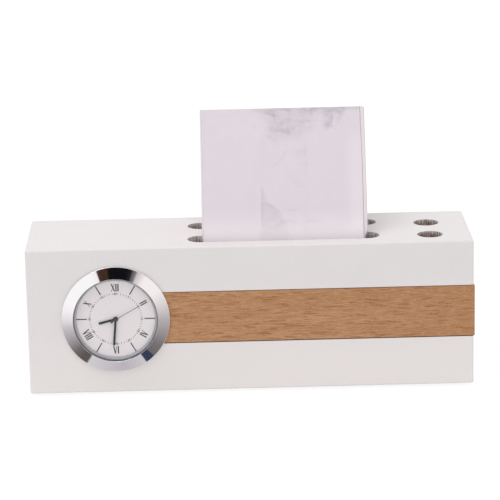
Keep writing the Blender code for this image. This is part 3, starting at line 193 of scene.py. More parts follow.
# %% Networks and finishes
class Network:
    """The nodes of a material or of the world."""

    def __init__(self, tree):
        self.tree = tree

    def plug(self, socket, value):
        """Give a socket a link, a colour or a number."""
        if isinstance(value, Value):
            self.tree.links.new(value.output, socket)
        elif socket.type == "RGBA":
            socket.default_value = (*value, 1.0)
        else:
            socket.default_value = value

    def add(self, kind, settings, sockets, output=0):
        """Add a node: its settings first, then its sockets. The answer is one of its outputs."""
        node = self.tree.nodes.new(kind)
        for name, value in settings.items():
            if name == "stops":
                for _ in value[2:]:
                    node.color_ramp.elements.new(0.5)
                for element, (position, colour) in zip(node.color_ramp.elements, value):
                    element.position = position
                    element.color = (*colour, 1.0)
            else:
                setattr(node, name, value)
        for name, value in sockets.items():
            self.plug(node.inputs[name], value)
        return Value(self, node.outputs[output])


class Finish(Network):
    """One material: a Principled shader and the nodes that feed it."""

    def __init__(self, name, roughness, metallic=0.0):
        self.material = bpy.data.materials.new(name)
        self.material.use_nodes = True
        super().__init__(self.material.node_tree)
        self.shader = self.tree.nodes["Principled BSDF"]
        self.set("Roughness", roughness)
        self.set("Metallic", metallic)

    def set(self, name, value):
        """Set one socket of the Principled shader."""
        self.plug(self.shader.inputs[name], value)

    def show(self, shader):
        """Show another shader in place of the Principled one."""
        self.plug(self.tree.nodes["Material Output"].inputs["Surface"], shader)

    def show_mix(self, share, first, second):
        """Show two shaders at once. None stands for the Principled one."""
        own = Value(self, self.shader.outputs[0])
        self.show(self.add("ShaderNodeMixShader", {}, {0: share, 1: first or own, 2: second or own}))


print("finishes are ready")


# %% [markdown]
# A few patterns come back in most finishes: a place on the piece, noise, a soft step from 0 to 1, a mix
# of two colours and a small relief. Each is one short function on top of `add`, and a value knows the
# finish that it belongs to. `place` may turn the pattern, centre it or stretch it along the grain, always
# from the piece's own coordinates.


# %% Patterns that the finishes share
def place(finish, centre=(0.0, 0.0, 0.0), turn=(0.0, 0.0, 0.0), stretch=(1.0, 1.0, 1.0)):
    """The place on the piece, seen from a centre and with the pattern stretched along the axes."""
    coordinates = finish.add("ShaderNodeTexCoord", {}, {}, "Object")
    return finish.add("ShaderNodeMapping", {"vector_type": "TEXTURE"},
                      {"Vector": coordinates, "Location": centre, "Rotation": turn, "Scale": stretch})


def along(where, axis):
    """One coordinate of a place."""
    return where.network.add("ShaderNodeSeparateXYZ", {}, {0: where}, axis)


def noise(where, size, detail):
    """Noise from 0 to 1 whose patches are about as large as size, in metres."""
    return where.network.add("ShaderNodeTexNoise", {},
                             {"Vector": where, "Scale": 1 / size, "Detail": detail})


def step(value, low, high):
    """0 below low, 1 above high and smooth in between."""
    return value.network.add("ShaderNodeMapRange", {"interpolation_type": "SMOOTHSTEP"},
                             {0: value, 1: low, 2: high})


def mix(factor, first, second):
    """The first colour at factor 0 and the second at factor 1."""
    return factor.network.add("ShaderNodeMix", {"data_type": "RGBA"}, {0: factor, 6: first, 7: second}, 2)


def ramp(factor, *stops):
    """A colour for each value, from stops of a position and a colour."""
    return factor.network.add("ShaderNodeValToRGB", {"stops": stops}, {0: factor})


def relief(height, depth):
    """Fine relief of a real depth in metres."""
    finish = height.network
    finish.set("Normal", finish.add("ShaderNodeBump", {}, {"Height": height, "Distance": depth}))


print("places, noise, steps, mixes, ramps and relief are ready")

# %% [markdown]
# ## Light
# The photograph is a product picture on pure white: even light from all sides, a soft lamp above left.
# The world gives the even part. It shows pure white to the camera and to mirrors and glass, and lights
# the object a little less, so that together with the lamp a colour renders about as it is written.

# %% World and lamp
WORLD_LIGHT = 0.75
LAMP_POWER = 16.5
LAMP_PLACE = Vector((-0.7, -0.63, 2.17))
LAMP_SIZE = 1.2


def direct_rays(network):
    """1 for rays from the camera, from a mirror or through glass, and 0 for all others."""
    kinds = ("Is Camera Ray", "Is Glossy Ray", "Is Transmission Ray")
    camera_ray, glossy_ray, clear_ray = [network.add("ShaderNodeLightPath", {}, {}, kind) for kind in kinds]
    return step(camera_ray + glossy_ray + clear_ray, 0.0, 1.0)


def light_world():
    """An even world, pure white where it is seen directly."""
    world = bpy.data.worlds.new("white_studio")
    world.use_nodes = True
    world.node_tree.nodes.clear()
    network = Network(world.node_tree)
    strength = direct_rays(network) * (1 - WORLD_LIGHT) + WORLD_LIGHT
    light = network.add("ShaderNodeBackground", {}, {"Color": (1.0, 1.0, 1.0), "Strength": strength})
    output = world.node_tree.nodes.new("ShaderNodeOutputWorld")
    network.plug(output.inputs["Surface"], light)
    bpy.context.scene.world = world


def add_lamp():
    """A large soft lamp, aimed at the block."""
    data = bpy.data.lights.new("soft_lamp", "AREA")
    data.energy = LAMP_POWER
    data.size = LAMP_SIZE
    lamp = add_object("soft_lamp", data)
    turn = (CAMERA_TARGET - LAMP_PLACE).to_track_quat("-Z", "Y").to_matrix().to_4x4()
    lamp.matrix_world = Matrix.Translation(LAMP_PLACE) @ turn
    return lamp


light_world()
print(add_lamp().name, "at", [round(value, 2) for value in LAMP_PLACE])

# %% [markdown]
# The floor is a pale plane just under the felt. To the camera it has to be the white of the backdrop, yet
# keep the block's soft contact shadow. So its shader mixes plain diffuse white, which holds the shadow,
# with emission for the rays that see it directly.

# %% Floor
FLOOR_DROP = 0.00005
FLOOR_SIZE = 8.0
FLOOR_WHITE = (0.9, 0.9, 0.9)
FLOOR_GLOW = 1.1
FLOOR_GLOW_SHARE = 0.82


def add_floor():
    """A wide pale floor that looks white and keeps the shadow."""
    shape = bmesh.new()
    bmesh.ops.create_grid(shape, x_segments=1, y_segments=1, size=FLOOR_SIZE / 2)
    bmesh.ops.translate(shape, verts=shape.verts, vec=(0.0, 0.0, -FLOOR_DROP))
    mesh = to_mesh("floor", shape)
    finish = Finish("floor_white", 0.9)
    finish.set("Base Color", FLOOR_WHITE)
    glow = finish.add("ShaderNodeEmission", {}, {"Color": (1.0, 1.0, 1.0), "Strength": FLOOR_GLOW})
    finish.show_mix(direct_rays(finish) * FLOOR_GLOW_SHARE, None, glow)
    mesh.materials.append(finish.material)
    floor = add_object("floor", mesh)
    return floor


print(add_floor().name, FLOOR_SIZE, "m wide")

# %% [markdown]
# ## Making pieces
# A new piece starts as a bmesh, is shaped with operators and ends as an object at the origin with its
# place in its mesh. `add_piece` does the ending for all of them: it closes seams, points the faces out,
# smooths what is round, leaves edges crisp and flat faces flat, and hangs it under an empty for the body
# it rides on.

# %% Finish a piece
SEAM = 1e-7
SMOOTH_UNDER = math.radians(35)


def add_piece(name, shape, finishes, body, replaces=(), where=None):
    """Turn a bmesh into a finished piece that rides on a body."""
    bmesh.ops.remove_doubles(shape, verts=shape.verts, dist=SEAM)
    bmesh.ops.recalc_face_normals(shape, faces=shape.faces)
    mesh = to_mesh(name, shape)
    if where is not None:
        mesh.transform(where)
    for finish in finishes:
        mesh.materials.append(finish.material)
    mesh.shade_smooth()
    mesh.set_sharp_from_angle(angle=SMOOTH_UNDER)
    piece = add_object(name, mesh)
    weighted = piece.modifiers.new("flat_faces_stay_flat", "WEIGHTED_NORMAL")
    weighted.keep_sharp = True
    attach(piece, body)
    if replaces:
        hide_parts(*replaces)
    print(name, len(mesh.polygons), "faces")
    return piece


print("edges stay crisp from", round(math.degrees(SMOOTH_UNDER)), "degrees")


# %% Shapes that come back
def box_shape(low, high):
    """A box between two corners."""
    shape = bmesh.new()
    bmesh.ops.create_cube(shape, size=1.0)
    low, high = Vector(low), Vector(high)
    bmesh.ops.scale(shape, verts=shape.verts, vec=high - low)
    bmesh.ops.translate(shape, verts=shape.verts, vec=(low + high) / 2)
    return shape


def evaluated_mesh(thing):
    """The mesh that an object has with its modifiers, or that its text gives."""
    return bpy.data.meshes.new_from_object(thing.evaluated_get(bpy.context.evaluated_depsgraph_get()))


def round_edges(shape, radius, segments, sharper_than=math.radians(25)):
    """Round every edge that turns more sharply than an angle."""
    edges = [edge for edge in shape.edges
             if len(edge.link_faces) == 2 and edge.calc_face_angle() > sharper_than]
    bmesh.ops.bevel(shape, geom=edges, offset=radius, offset_type="OFFSET", segments=segments,
                    profile=0.5, affect="EDGES", clamp_overlap=True, material=-1)


print("boxes and rounded edges are ready")

# %% [markdown]
# ## The painted block
# The block is wood under a satin white paint: smooth, with the faint unevenness of a sprayed coat. Holes,
# pocket and bore were cut first, and the spray only reached a little way into them: below a ragged edge
# the bare wood shows, rough and streaked from top to bottom by the tool. Both finishes are noise: soft
# and wide for the paint, narrow and drawn out along Z for the streaks. The depth below the block's top
# decides where the one ends and the other starts.


# %% Paint and bare wood
MIST_START, MIST_END, MIST_RAGGED = -0.8, 2.6, 4.0
POCKET_MIST = 1.2
POCKET_GREY = 0.6


def paint_finish():
    """Sprayed satin white: hardly visible mottle, dust specks, fine orange peel, and painted light from the floor
    that makes it a little lighter and warmer low down.
    """
    finish = Finish("white_paint", 0.45)
    where = place(finish)
    mottle = noise(where, 22 * MM, 4.0)
    cloud = noise(where, 1.6 * MM, 2.0)
    tone = mix(mottle, (0.790, 0.748, 0.752), (0.828, 0.790, 0.790))
    tone = mix(step(cloud, 0.5, 0.8) * 0.35, tone, (0.760, 0.722, 0.722))
    # Painted light: the paint turns a little lighter and warmer towards the bottom, standing in for the light that
    # the white floor throws up.
    low = 1 - step(along(where, "Z"), 2 * MM, 55 * MM)
    tone = mix(low * 0.8, tone, (0.862, 0.816, 0.802))
    speck = finish.add("ShaderNodeTexVoronoi", {}, {"Vector": where, "Scale": 1 / (9 * MM)}, "Distance")
    dust = 1 - step(speck, 0.010, 0.022)
    finish.set("Base Color", mix(dust * 0.5, tone, (0.45, 0.40, 0.38)))
    finish.set("Roughness", 0.40 + mottle * 0.12)
    relief(noise(where, 0.9 * MM, 2.0), 0.008 * MM)
    return finish


def bare_wood_finish():
    """Cut wood inside the holes, streaked along Z, with paint mist that runs down from the rim."""
    finish = Finish("bare_wood", 0.85)
    where = place(finish)
    streak = noise(place(finish, stretch=(1.0, 1.0, 3.5)), 0.75 * MM, 2.0)
    patch = noise(where, 3.5 * MM, 2.0)
    tone = ramp(streak * 0.8 + patch * 0.2, (0.36, (0.20, 0.120, 0.095)),
                (0.50, (0.34, 0.235, 0.200)), (0.64, (0.52, 0.42, 0.38)))
    haze = ramp(streak, (0.40, (0.58, 0.52, 0.51)), (0.60, (0.84, 0.80, 0.78)))
    depth = (block_high.z - along(where, "Z")) * (1 / MM)
    pocket = 1 - step(along(where, "X"), 66 * MM, 68 * MM)
    tone = mix(pocket * POCKET_GREY, tone, (0.37, 0.325, 0.335))
    reach = depth - (streak - 0.5) * MIST_RAGGED - pocket * POCKET_MIST
    mist = step(reach, MIST_END, MIST_START)
    finish.set("Base Color", mix(mist, tone, haze))
    relief(streak, 0.12 * MM)
    return finish


PAINT = paint_finish()
BARE_WOOD = bare_wood_finish()
print(PAINT.material.name, BARE_WOOD.material.name)

# %% [markdown]
# The holes' places come from the record's openings, the pocket's walls from the pad that stands in it,
# and the recess from the strip. Each cut is a Boolean with an exact solver, as on a real milling
# machine: a plain blank first, then one tool after the other. The tool's faces carry the second material,
# so that every cut face comes out as bare wood.

# %% Sizes of the cuts
HOLE_RADIUS = 6 * MM
OPENING_FLOOR_ROOM = 0.5 * MM
PAD_LEFT_ROOM, PAD_RIGHT_ROOM = 0.3 * MM, 0.8 * MM
LEFT_CORNER_OUTSET, RIGHT_CORNER_OUTSET = 1.05 * MM, 0.55 * MM
STRIP_ROOM = 0.25 * MM
BORE_RADIUS = 22.5 * MM
BORE_END_ROOM = 3.7 * MM
BLOCK_ROUNDING = 0.9 * MM
LIP_ROUNDING, LIP_SHARPER_THAN = 0.18 * MM, math.radians(60)
OVERRUN = 2 * MM
HOLE_SEGMENTS, BORE_SEGMENTS = 96, 192
openings = {opening["name"]: opening["box_m"] for opening in frame["record"]["physics"]["openings"]}


def opening_middle(name):
    """The middle of an opening, seen from above."""
    low, high = openings[name]
    return (low[0] + high[0]) / 2, (low[1] + high[1]) / 2


pen_x, pen_front = opening_middle("pen_hole_front")
pen_rear = opening_middle("pen_hole_rear")[1]
corner_front = opening_middle("left_corner_front")[1]
corner_rear = opening_middle("left_corner_rear")[1]
pen_floor = openings["pen_hole_front"][0][2] - OPENING_FLOOR_ROOM
pocket_floor = openings["left_corner_front"][0][2] - OPENING_FLOOR_ROOM
pocket_left, pocket_right = sheets_low.x - PAD_LEFT_ROOM, sheets_high.x + PAD_RIGHT_ROOM
print("rows at", [round(row / MM, 2) for row in (pen_front, pen_rear, corner_front, corner_rear)])


# %% Tools that cut
def rod_shape(radius, low, high, segments):
    """A round rod along the Z axis between two heights."""
    shape = bmesh.new()
    bmesh.ops.create_cone(shape, cap_ends=True, segments=segments, radius1=radius, radius2=radius,
                          depth=high - low)
    bmesh.ops.translate(shape, verts=shape.verts, vec=(0.0, 0.0, (low + high) / 2))
    return shape


def cutter(name, shape):
    """A tool whose cuts come out as bare wood."""
    for face in shape.faces:
        face.material_index = 1
    return add_object(name, to_mesh(name, shape))


def drill(name, x, y, floor):
    """A round tool that stands upright over the block."""
    shape = rod_shape(HOLE_RADIUS, floor, block_high.z + OVERRUN, HOLE_SEGMENTS)
    bmesh.ops.translate(shape, verts=shape.verts, vec=(x, y, 0.0))
    return cutter(name, shape)


def block_cutters():
    """The tools for the bore, the strip's recess, the pocket and the six round holes."""
    bore_floor = block_low.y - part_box("set_knob")[1].y - BORE_END_ROOM
    bore = rod_shape(BORE_RADIUS, bore_floor, OVERRUN, BORE_SEGMENTS)
    bmesh.ops.transform(bore, verts=bore.verts, matrix=CLOCK)
    strip_low, strip_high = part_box("wood_strip")
    recess = box_shape((strip_low.x - OVERRUN, block_low.y - OVERRUN, strip_low.z - STRIP_ROOM),
                       (block_high.x + OVERRUN, strip_high.y + STRIP_ROOM, strip_high.z + STRIP_ROOM))
    pocket = box_shape((pocket_left, corner_front - HOLE_RADIUS, pocket_floor),
                       (pocket_right, corner_rear + HOLE_RADIUS, block_high.z + OVERRUN))
    tools = [cutter("bore", bore), cutter("recess", recess), cutter("pocket", pocket)]
    for row in (corner_front, corner_rear):
        tools.append(drill("left_corner", pocket_left - LEFT_CORNER_OUTSET, row, pocket_floor))
        tools.append(drill("right_corner", pocket_right + RIGHT_CORNER_OUTSET, row, pocket_floor))
    for row in (pen_front, pen_rear):
        tools.append(drill("pen_hole", pen_x, row, pen_floor))
    return tools


print("bore", 2 * BORE_RADIUS / MM, "mm and holes", 2 * HOLE_RADIUS / MM, "mm wide")


# %% Cut the block
def carve(shape, tools):
    """Subtract the tools from a bmesh, one after the other, and remove them."""
    blank = add_object("blank", to_mesh("blank", shape))
    for tool in tools:
        modifier = blank.modifiers.new(tool.name, "BOOLEAN")
        modifier.operation = "DIFFERENCE"
        modifier.solver = "EXACT"
        modifier.object = tool
    shape = bmesh.new()
    shape.from_mesh(evaluated_mesh(blank))
    for thing in (blank, *tools):
        bpy.data.objects.remove(thing)
    return shape


def painted_block():
    """The rounded blank, its cuts, and a lip worn round at each of them."""
    shape = box_shape(block_low, block_high)
    round_edges(shape, BLOCK_ROUNDING, 6)
    for face in shape.faces:
        face.material_index = 0
    shape = carve(shape, block_cutters())
    round_edges(shape, LIP_ROUNDING, 2, sharper_than=LIP_SHARPER_THAN)
    return add_piece("painted_block", shape, [PAINT, BARE_WOOD], "block", ["body_block"])


painted_block()

# %% [markdown]
# ## The beech strip
# Beech has a fine, even grain along the strip, pinkish brown, with many short darker dashes where the
# rays are cut. Each layer is a noise drawn out along X: a long one for the bands of the grain, and shorter
# ones cut off at a threshold for the spots. A row of spots has its noise (centre, stretch, size, detail),
# its threshold, its share and its colour. The lacquer is matt, so it stays rough.


# %% Beech
BEECH_BAND = ((0.32, (0.452, 0.218, 0.090)), (0.66, (0.520, 0.270, 0.125)))
BEECH_FLECK = ((0.0, 0.0, 0.0), 11.0, 0.48 * MM, 2.0)
BEECH_SPOTS = ((((0.1, 0.2, 0.4), 7.0, 0.55 * MM, 2.0), (0.50, 0.68), 0.5, (0.575, 0.345, 0.200)),
               (BEECH_FLECK, (0.48, 0.64), 0.7, (0.400, 0.168, 0.052)),
               (((0.3, 0.1, 0.2), 9.0, 0.82 * MM, 1.0), (0.55, 0.68), 0.8, (0.330, 0.116, 0.028)),
               (((0.0, 0.0, 0.0), 3.0, 0.3 * MM, 1.0), (0.45, 0.65), 0.28, (0.595, 0.370, 0.220)))


def beech_finish():
    """Pinkish brown with long bands, pale streaks, short dark flecks and dashes, and fine pale dots."""
    finish = Finish("beech", 0.5)

    def grain(centre, stretch, size, detail):
        """One noise that is drawn out along the strip."""
        return noise(place(finish, centre=centre, stretch=(stretch, 1.0, 1.0)), size, detail)

    tone = ramp(grain((0.0, 0.0, 0.0), 14.0, 6 * MM, 3.0), *BEECH_BAND)
    where = place(finish)
    right = step(along(where, "X"), 20 * MM, 95 * MM)
    upper = step(along(where, "Z"), 28 * MM, 47 * MM)
    tone = mix(right * 0.42, tone, (0.400, 0.170, 0.052))
    tone = mix(upper * 0.3, tone, (0.460, 0.210, 0.072))
    for pattern, (low, high), share, colour in BEECH_SPOTS:
        tone = mix(step(grain(*pattern), low, high) * share, tone, colour)
    fleck = grain(*BEECH_FLECK)
    finish.set("Base Color", tone)
    finish.set("Roughness", 0.46 + fleck * 0.12)
    relief(fleck, 0.02 * MM)
    return finish


def dress(node, finish):
    """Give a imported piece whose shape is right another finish."""
    materials = nodes[node].data.materials
    materials.clear()
    materials.append(finish.material)


dress("wood_strip", beech_finish())
print("wood_strip is beech")

# %% [markdown]
# ## The felt base
# The block stands on a pale felt sheet, inset from its edges. Felt has no weave: it is a mat of fibres,
# so a fine noise in all directions gives both its colour and its nap. Other plain materials need one grain
# too, so a function makes them all.


# %% Felt
def grained_finish(name, roughness, dark, light, size, detail, metallic=0.0, stops=(0.3, 0.7), swing=0.0,
                   depth=0.0, **where):
    """A finish with one grain, which gives its colour and, where asked, its roughness and its relief."""
    finish = Finish(name, roughness, metallic)
    grain = noise(place(finish, **where), size, detail)
    finish.set("Base Color", ramp(grain, (stops[0], dark), (stops[1], light)))
    if swing:
        finish.set("Roughness", roughness - swing / 2 + grain * swing)
    if depth:
        relief(grain, depth)
    return finish


FELT = grained_finish("felt", 0.95, (0.42, 0.41, 0.40), (0.62, 0.61, 0.60), 0.5 * MM, 6.0, stops=(0.35, 0.70),
                      depth=0.25 * MM)
FELT.set("Sheen Weight", 0.3)
dress("felt_base", FELT)
print("felt_base is felt")

# %% [markdown]
# ## The block of sheets
# A note pad is a few hundred sheets whose edges never line up quite. A plain box would show that only in
# its material, so the box is divided into layers, and each layer's edge is moved in by a few hundredths
# of a millimetre, the same on every run because the random numbers have a seed.

# %% Paper and card
SHEET_LAYERS = 110
SHEET_SLIP = 0.05 * MM
SLIP_SEED = 5
PARALLEL = 0.999


def paper_finish():
    """White paper with a faint formation and a little pink, with painted light: whiter at the foot that stands in
    the pocket, against the shade there, and in a band at the right, the film's sheen.
    """
    finish = Finish("paper", 0.7)
    where = place(finish, centre=pad_corner, turn=pad_turn)
    across, depth, up = [along(where, axis) for axis in "XYZ"]
    cloud = noise(where, 6 * MM, 5.0)
    flat = place(finish, centre=pad_corner, turn=pad_turn, stretch=(60.0, 1.0, 60.0))
    layer = noise(flat, 0.22 * MM, 2.0)
    inside = step(depth, 0.02 * MM, 0.12 * MM)
    tone = mix(cloud, (0.762, 0.694, 0.755), (0.802, 0.734, 0.790))
    # Painted light: a lighter band at the right, the film's sheen put into the paper under it.
    light = step(across, 29 * MM, 35 * MM) * (1 - step(up, 56 * MM, 70 * MM))
    tone = mix(light * 0.24, tone, (0.97, 0.89, 0.93))
    # Painted light: the paper turns whiter towards its foot in the pocket, to cancel the shade that falls there.
    foot = 1 - step(up, 12 * MM, 30 * MM)
    tone = mix(foot, tone, (0.97, 0.91, 0.955))
    finish.set("Base Color", mix(inside * (1 - layer) * 0.5, tone, (0.56, 0.50, 0.54)))
    return finish


def edges_along(shape, axis):
    """The edges of a shape that run along one axis."""
    return [edge for edge in shape.edges
            if abs((edge.verts[1].co - edge.verts[0].co).normalized()[axis]) > PARALLEL]


def sheet_block():
    """A box in layers, each slipped a little against the next."""
    shape = box_shape((-pad_width / 2, 0.0, 0.0), (pad_width / 2, sheets_depth, pad_height))
    bmesh.ops.subdivide_edges(shape, edges=edges_along(shape, 1), cuts=SHEET_LAYERS, use_grid_fill=True)
    slips = random.Random(SLIP_SEED)
    layer_slips = {}
    for vertex in shape.verts:
        layer = round(vertex.co.y / sheets_depth * (SHEET_LAYERS + 1))
        if 0 < layer <= SHEET_LAYERS:
            if layer not in layer_slips:
                layer_slips[layer] = [slips.uniform(-SHEET_SLIP, 0.0) for _ in range(3)]
            right, left, top = layer_slips[layer]
            vertex.co.x += right if vertex.co.x > 0.0 else -left
            vertex.co.z += top if vertex.co.z > pad_height / 2 else 0.0
    return add_piece("sheet_block", shape, [paper_finish()], "note_pad", ["note_sheets"], PAD)


sheet_block()
CARD = grained_finish("grey_card", 0.85, (0.28, 0.255, 0.22), (0.42, 0.39, 0.345), 0.8 * MM, 5.0,
                      stops=(0.35, 0.65), depth=0.03 * MM, stretch=(1.0, 1.0, 2.0))
dress("note_backing", CARD)

# %% [markdown]
# ## The clear film
# New pads are wrapped in shrink film: a thin clear skin, tight over the face, folded at the ends and
# puffed out a little at the sides. It shows by its folds: two layers are milkier than one, and creases
# catch the light, which is painted here: along the bright creases the film is made clearer. The film is
# a fine grid round the pad. Python moves its points for creases and puffed sides, and stores how milky,
# dark, crumpled and pale each point is in attributes that the finish reads.

# %% Folds and creases of the film, in millimetres across and up the pad
FILM_CELL = 0.55 * MM
FILM_STAND_OFF = 0.14 * MM
FILM_ROUNDING = 0.45 * MM
CREASE_HEIGHT = 0.03 * MM
BRIGHT_WIDTH, SOFT_WIDTH = 0.35, 0.5
FRONT_REACH, FRONT_BLEND = 1.5 * MM, 1 * MM
PUFF_START, PUFF_BLEND = 0.5 * MM, 0.6 * MM
SIDE_HAZE = 0.95
EVEN_HAZE, FACE_HAZE = 0.10, 0.22
STREAK_TURN = math.radians(62)
PUFF_PLACES = (0.0, 14.9 * MM, 17 * MM, 76 * MM)
LEFT_PUFF = (0.0, 0.05 * MM, 0.35 * MM, 0.05 * MM)
RIGHT_PUFF = (0.5 * MM, 0.55 * MM, 1.75 * MM, 1.35 * MM)
END_FOLD = ((-34.1, 73.2), (-21.7, 59.7), (1.9, 58.7), (18.5, 62.6), (30.4, 68.9), (33.9, 73.5))
MIDDLE_WRINKLES = ((-8.0, 64.5), (-2.0, 61.5), (8.0, 62.5), (14.0, 66.5), (19.0, 76.0), (-12.0, 76.0))
RIGHT_WRINKLES = ((19.7, 67.5), (23.0, 65.5), (26.5, 67.5), (29.0, 72.0), (31.0, 76.0), (19.0, 76.0))
WARM_PATCH = ((-34.0, 74.0), (-27.0, 64.0), (-21.5, 61.0), (-10.0, 61.5), (-6.0, 68.0), (-10.0, 74.0))
LOOSE_PATCH = ((-10.2, 39.0), (-8.4, 36.2), (-7.0, 31.3), (-3.6, 29.7), (-1.1, 27.7), (-0.3, 24.2),
               (1.9, 21.6), (2.8, 13.3), (-10.3, 13.3))
LAP_SEAMS = ((-8.9, 60.4, -10.1, 13.7), (11.6, 59.9, 10.5, 13.2))
BRIGHT_CREASES = ((26.9, 72.8, 25.6, 67.6), (25.4, 72.2, 24.7, 67.1), (24.7, 66.5, 24.1, 64.3),
                  (31.1, 72.1, 27.3, 67.3), (23.5, 66.0, 20.6, 62.0))
SOFT_CREASES = ((-6.3, 62.7, -2.9, 60.9), (-3.4, 64.3, -0.5, 66.8), (-0.5, 66.8, 1.2, 64.2),
                (1.2, 64.2, 3.0, 67.0), (2.9, 64.2, 5.8, 66.1), (-8.3, 74.2, -2.6, 72.3),
                (5.8, 55.0, 11.3, 56.0), (7.2, 53.7, 11.2, 53.8), (8.8, 49.3, 11.7, 50.0),
                (5.2, 41.3, 8.3, 40.9), (7.1, 38.5, 8.9, 38.9), (0.3, 28.2, 7.2, 27.5),
                (1.9, 22.8, 5.6, 22.1), (11.9, 22.5, 16.7, 22.4), (2.1, 55.6, 0.6, 52.8),
                (0.6, 52.8, -2.0, 50.0), (-2.0, 50.0, -4.3, 48.3))
RIGHT_FOLD, RIGHT_SLOPE = 37.4 * MM, 0.02
LEFT_FOLD = -37.5 * MM
SPECK = (-12.6, 68.5, -12.5, 68.5)
FILM_LAYERS = ("haze", "shade", "crumple", "pale")
print(len(BRIGHT_CREASES) + len(SOFT_CREASES), "creases,", len(LAP_SEAMS), "seams")


# %% Measure the film's pattern
def line_distance(across, up, line):
    """How far points are from a straight line between two ends."""
    start, end = np.array(line[:2]), np.array(line[2:])
    run = end - start
    share = np.clip(((across - start[0]) * run[0] + (up - start[1]) * run[1]) / run.dot(run), 0.0, 1.0)
    return np.hypot(across - start[0] - share * run[0], up - start[1] - share * run[1])


def ridges(across, up, lines, width):
    """1 on the lines, falling to 0 at about twice the width."""
    nearest = np.min([line_distance(across, up, line) for line in lines], axis=0)
    return np.exp(-(nearest / width) ** 2)


def soft(value, width):
    """A soft step from 0 to 1 over a width round zero."""
    share = np.clip(value / width + 0.5, 0.0, 1.0)
    return share * share * (3 - 2 * share)


def patch(across, up, corners, width):
    """1 inside a patch and 0 outside it, with a soft border."""
    sides = [(*start, *end) for start, end in zip(corners, corners[1:] + corners[:1])]
    nearest = np.min([line_distance(across, up, side) for side in sides], axis=0)
    inside = np.zeros(across.shape, bool)
    for x1, y1, x2, y2 in sides:
        if y1 != y2:
            inside ^= ((y1 > up) != (y2 > up)) & (across < (x2 - x1) * (up - y1) / (y2 - y1) + x1)
    return soft(np.where(inside, nearest, -nearest), width)


print("end fold,", len(END_FOLD), "corners, loose patch,", len(LOOSE_PATCH), "corners")


# %% Finish of the film
def film_finish():
    """Clear film, milky, dark, crumpled or pale where its attributes say so."""
    finish = Finish("clear_film", 0.25)
    haze, shade, crumple, pale = [finish.add("ShaderNodeAttribute", {"attribute_name": name}, {}, "Fac")
                                  for name in FILM_LAYERS]
    where = place(finish, centre=pad_corner, turn=pad_turn)
    across, up = along(where, "X"), along(where, "Z")
    right = across + up * RIGHT_SLOPE - (RIGHT_FOLD + RIGHT_SLOPE * pad_height)
    right = right.math("MAXIMUM", right, across - pad_width / 2)
    left = LEFT_FOLD - across
    side = step(right, 0.0, 0.2 * MM) + step(left, 0.0, 0.3 * MM)
    edge = 1 - step(abs(right), 0.05 * MM, 0.28 * MM)
    fan = place(finish, centre=pad_corner, turn=pad_turn, stretch=(1.8, 1.0, 1.0))
    cloud = step(noise(fan, 2.6 * MM, 4.0), 0.36, 0.64)
    slant = (PAD.to_3x3() @ Matrix.Rotation(STREAK_TURN, 3, "Y")).to_euler()
    slanted = place(finish, centre=pad_corner, turn=slant, stretch=(6.0, 1.0, 1.0))
    stroke = step(noise(slanted, 0.9 * MM, 1.0), 0.50, 0.70)
    # Painted light: a band at the right where the film is made clearer, the film's sheen put in as colour.
    light = step(across - up * 0.06, 24 * MM, 35 * MM) * (1 - step(up, 58 * MM, 67 * MM))
    streaked = crumple * stroke
    shaded = shade * (0.35 + cloud * 0.65) * (1 - streaked * 0.6)
    # The painted shade of wrinkles and creases is brownish, and bluish towards the right.
    dark = mix(step(across, 10 * MM, 20 * MM), (0.18, 0.13, 0.14), (0.13, 0.13, 0.21))
    tone = mix(shaded, (0.97, 0.90, 0.92), dark)
    tone = mix(side, tone, (0.88, 0.79, 0.83))
    tone = mix(edge, tone, (0.58, 0.48, 0.49))
    finish.set("Base Color", tone)
    # Painted highlights: the film is made clearer, so the paper shows lighter, in the light band at the right,
    # along the bright creases and in the warm patch.
    clear = light + pale + streaked * 0.4
    clear = clear.math("MINIMUM", clear, 1.0)
    face = EVEN_HAZE * (1 - clear * 0.85) + haze + crumple * cloud * shade * 0.03
    face = face.math("MINIMUM", face, FACE_HAZE)
    finish.set("Alpha", (face + edge * 0.35) * (1 - side) + side * SIDE_HAZE * (1 - edge * 0.1))
    relief(noise(where, 4 * MM, 3.0), 0.08 * MM)
    return finish


print("the film reads", ", ".join(FILM_LAYERS))


# %% Shape and pattern of the film
def film_shape():
    """A fine box round the sheets and their card, with rounded edges."""
    depth = (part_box("note_backing")[1].y - sheets_low.y - pad_height * lean_sin) / lean_cos
    room, rounding = Vector((FILM_STAND_OFF,) * 3), Vector((FILM_ROUNDING,) * 3)
    low = Vector((-pad_width / 2, 0.0, 0.0)) - room
    high = Vector((pad_width / 2, depth, pad_height)) + room
    shape = box_shape(low, high)
    for axis in range(3):
        cuts = round((high[axis] - low[axis]) / FILM_CELL) - 1
        bmesh.ops.subdivide_edges(shape, edges=edges_along(shape, axis), cuts=cuts, use_grid_fill=True)
    core_low, core_high = low + rounding, high - rounding
    for vertex in shape.verts:
        core = Vector([min(max(vertex.co[i], core_low[i]), core_high[i]) for i in range(3)])
        vertex.co = core + (vertex.co - core).normalized() * FILM_ROUNDING
    return shape


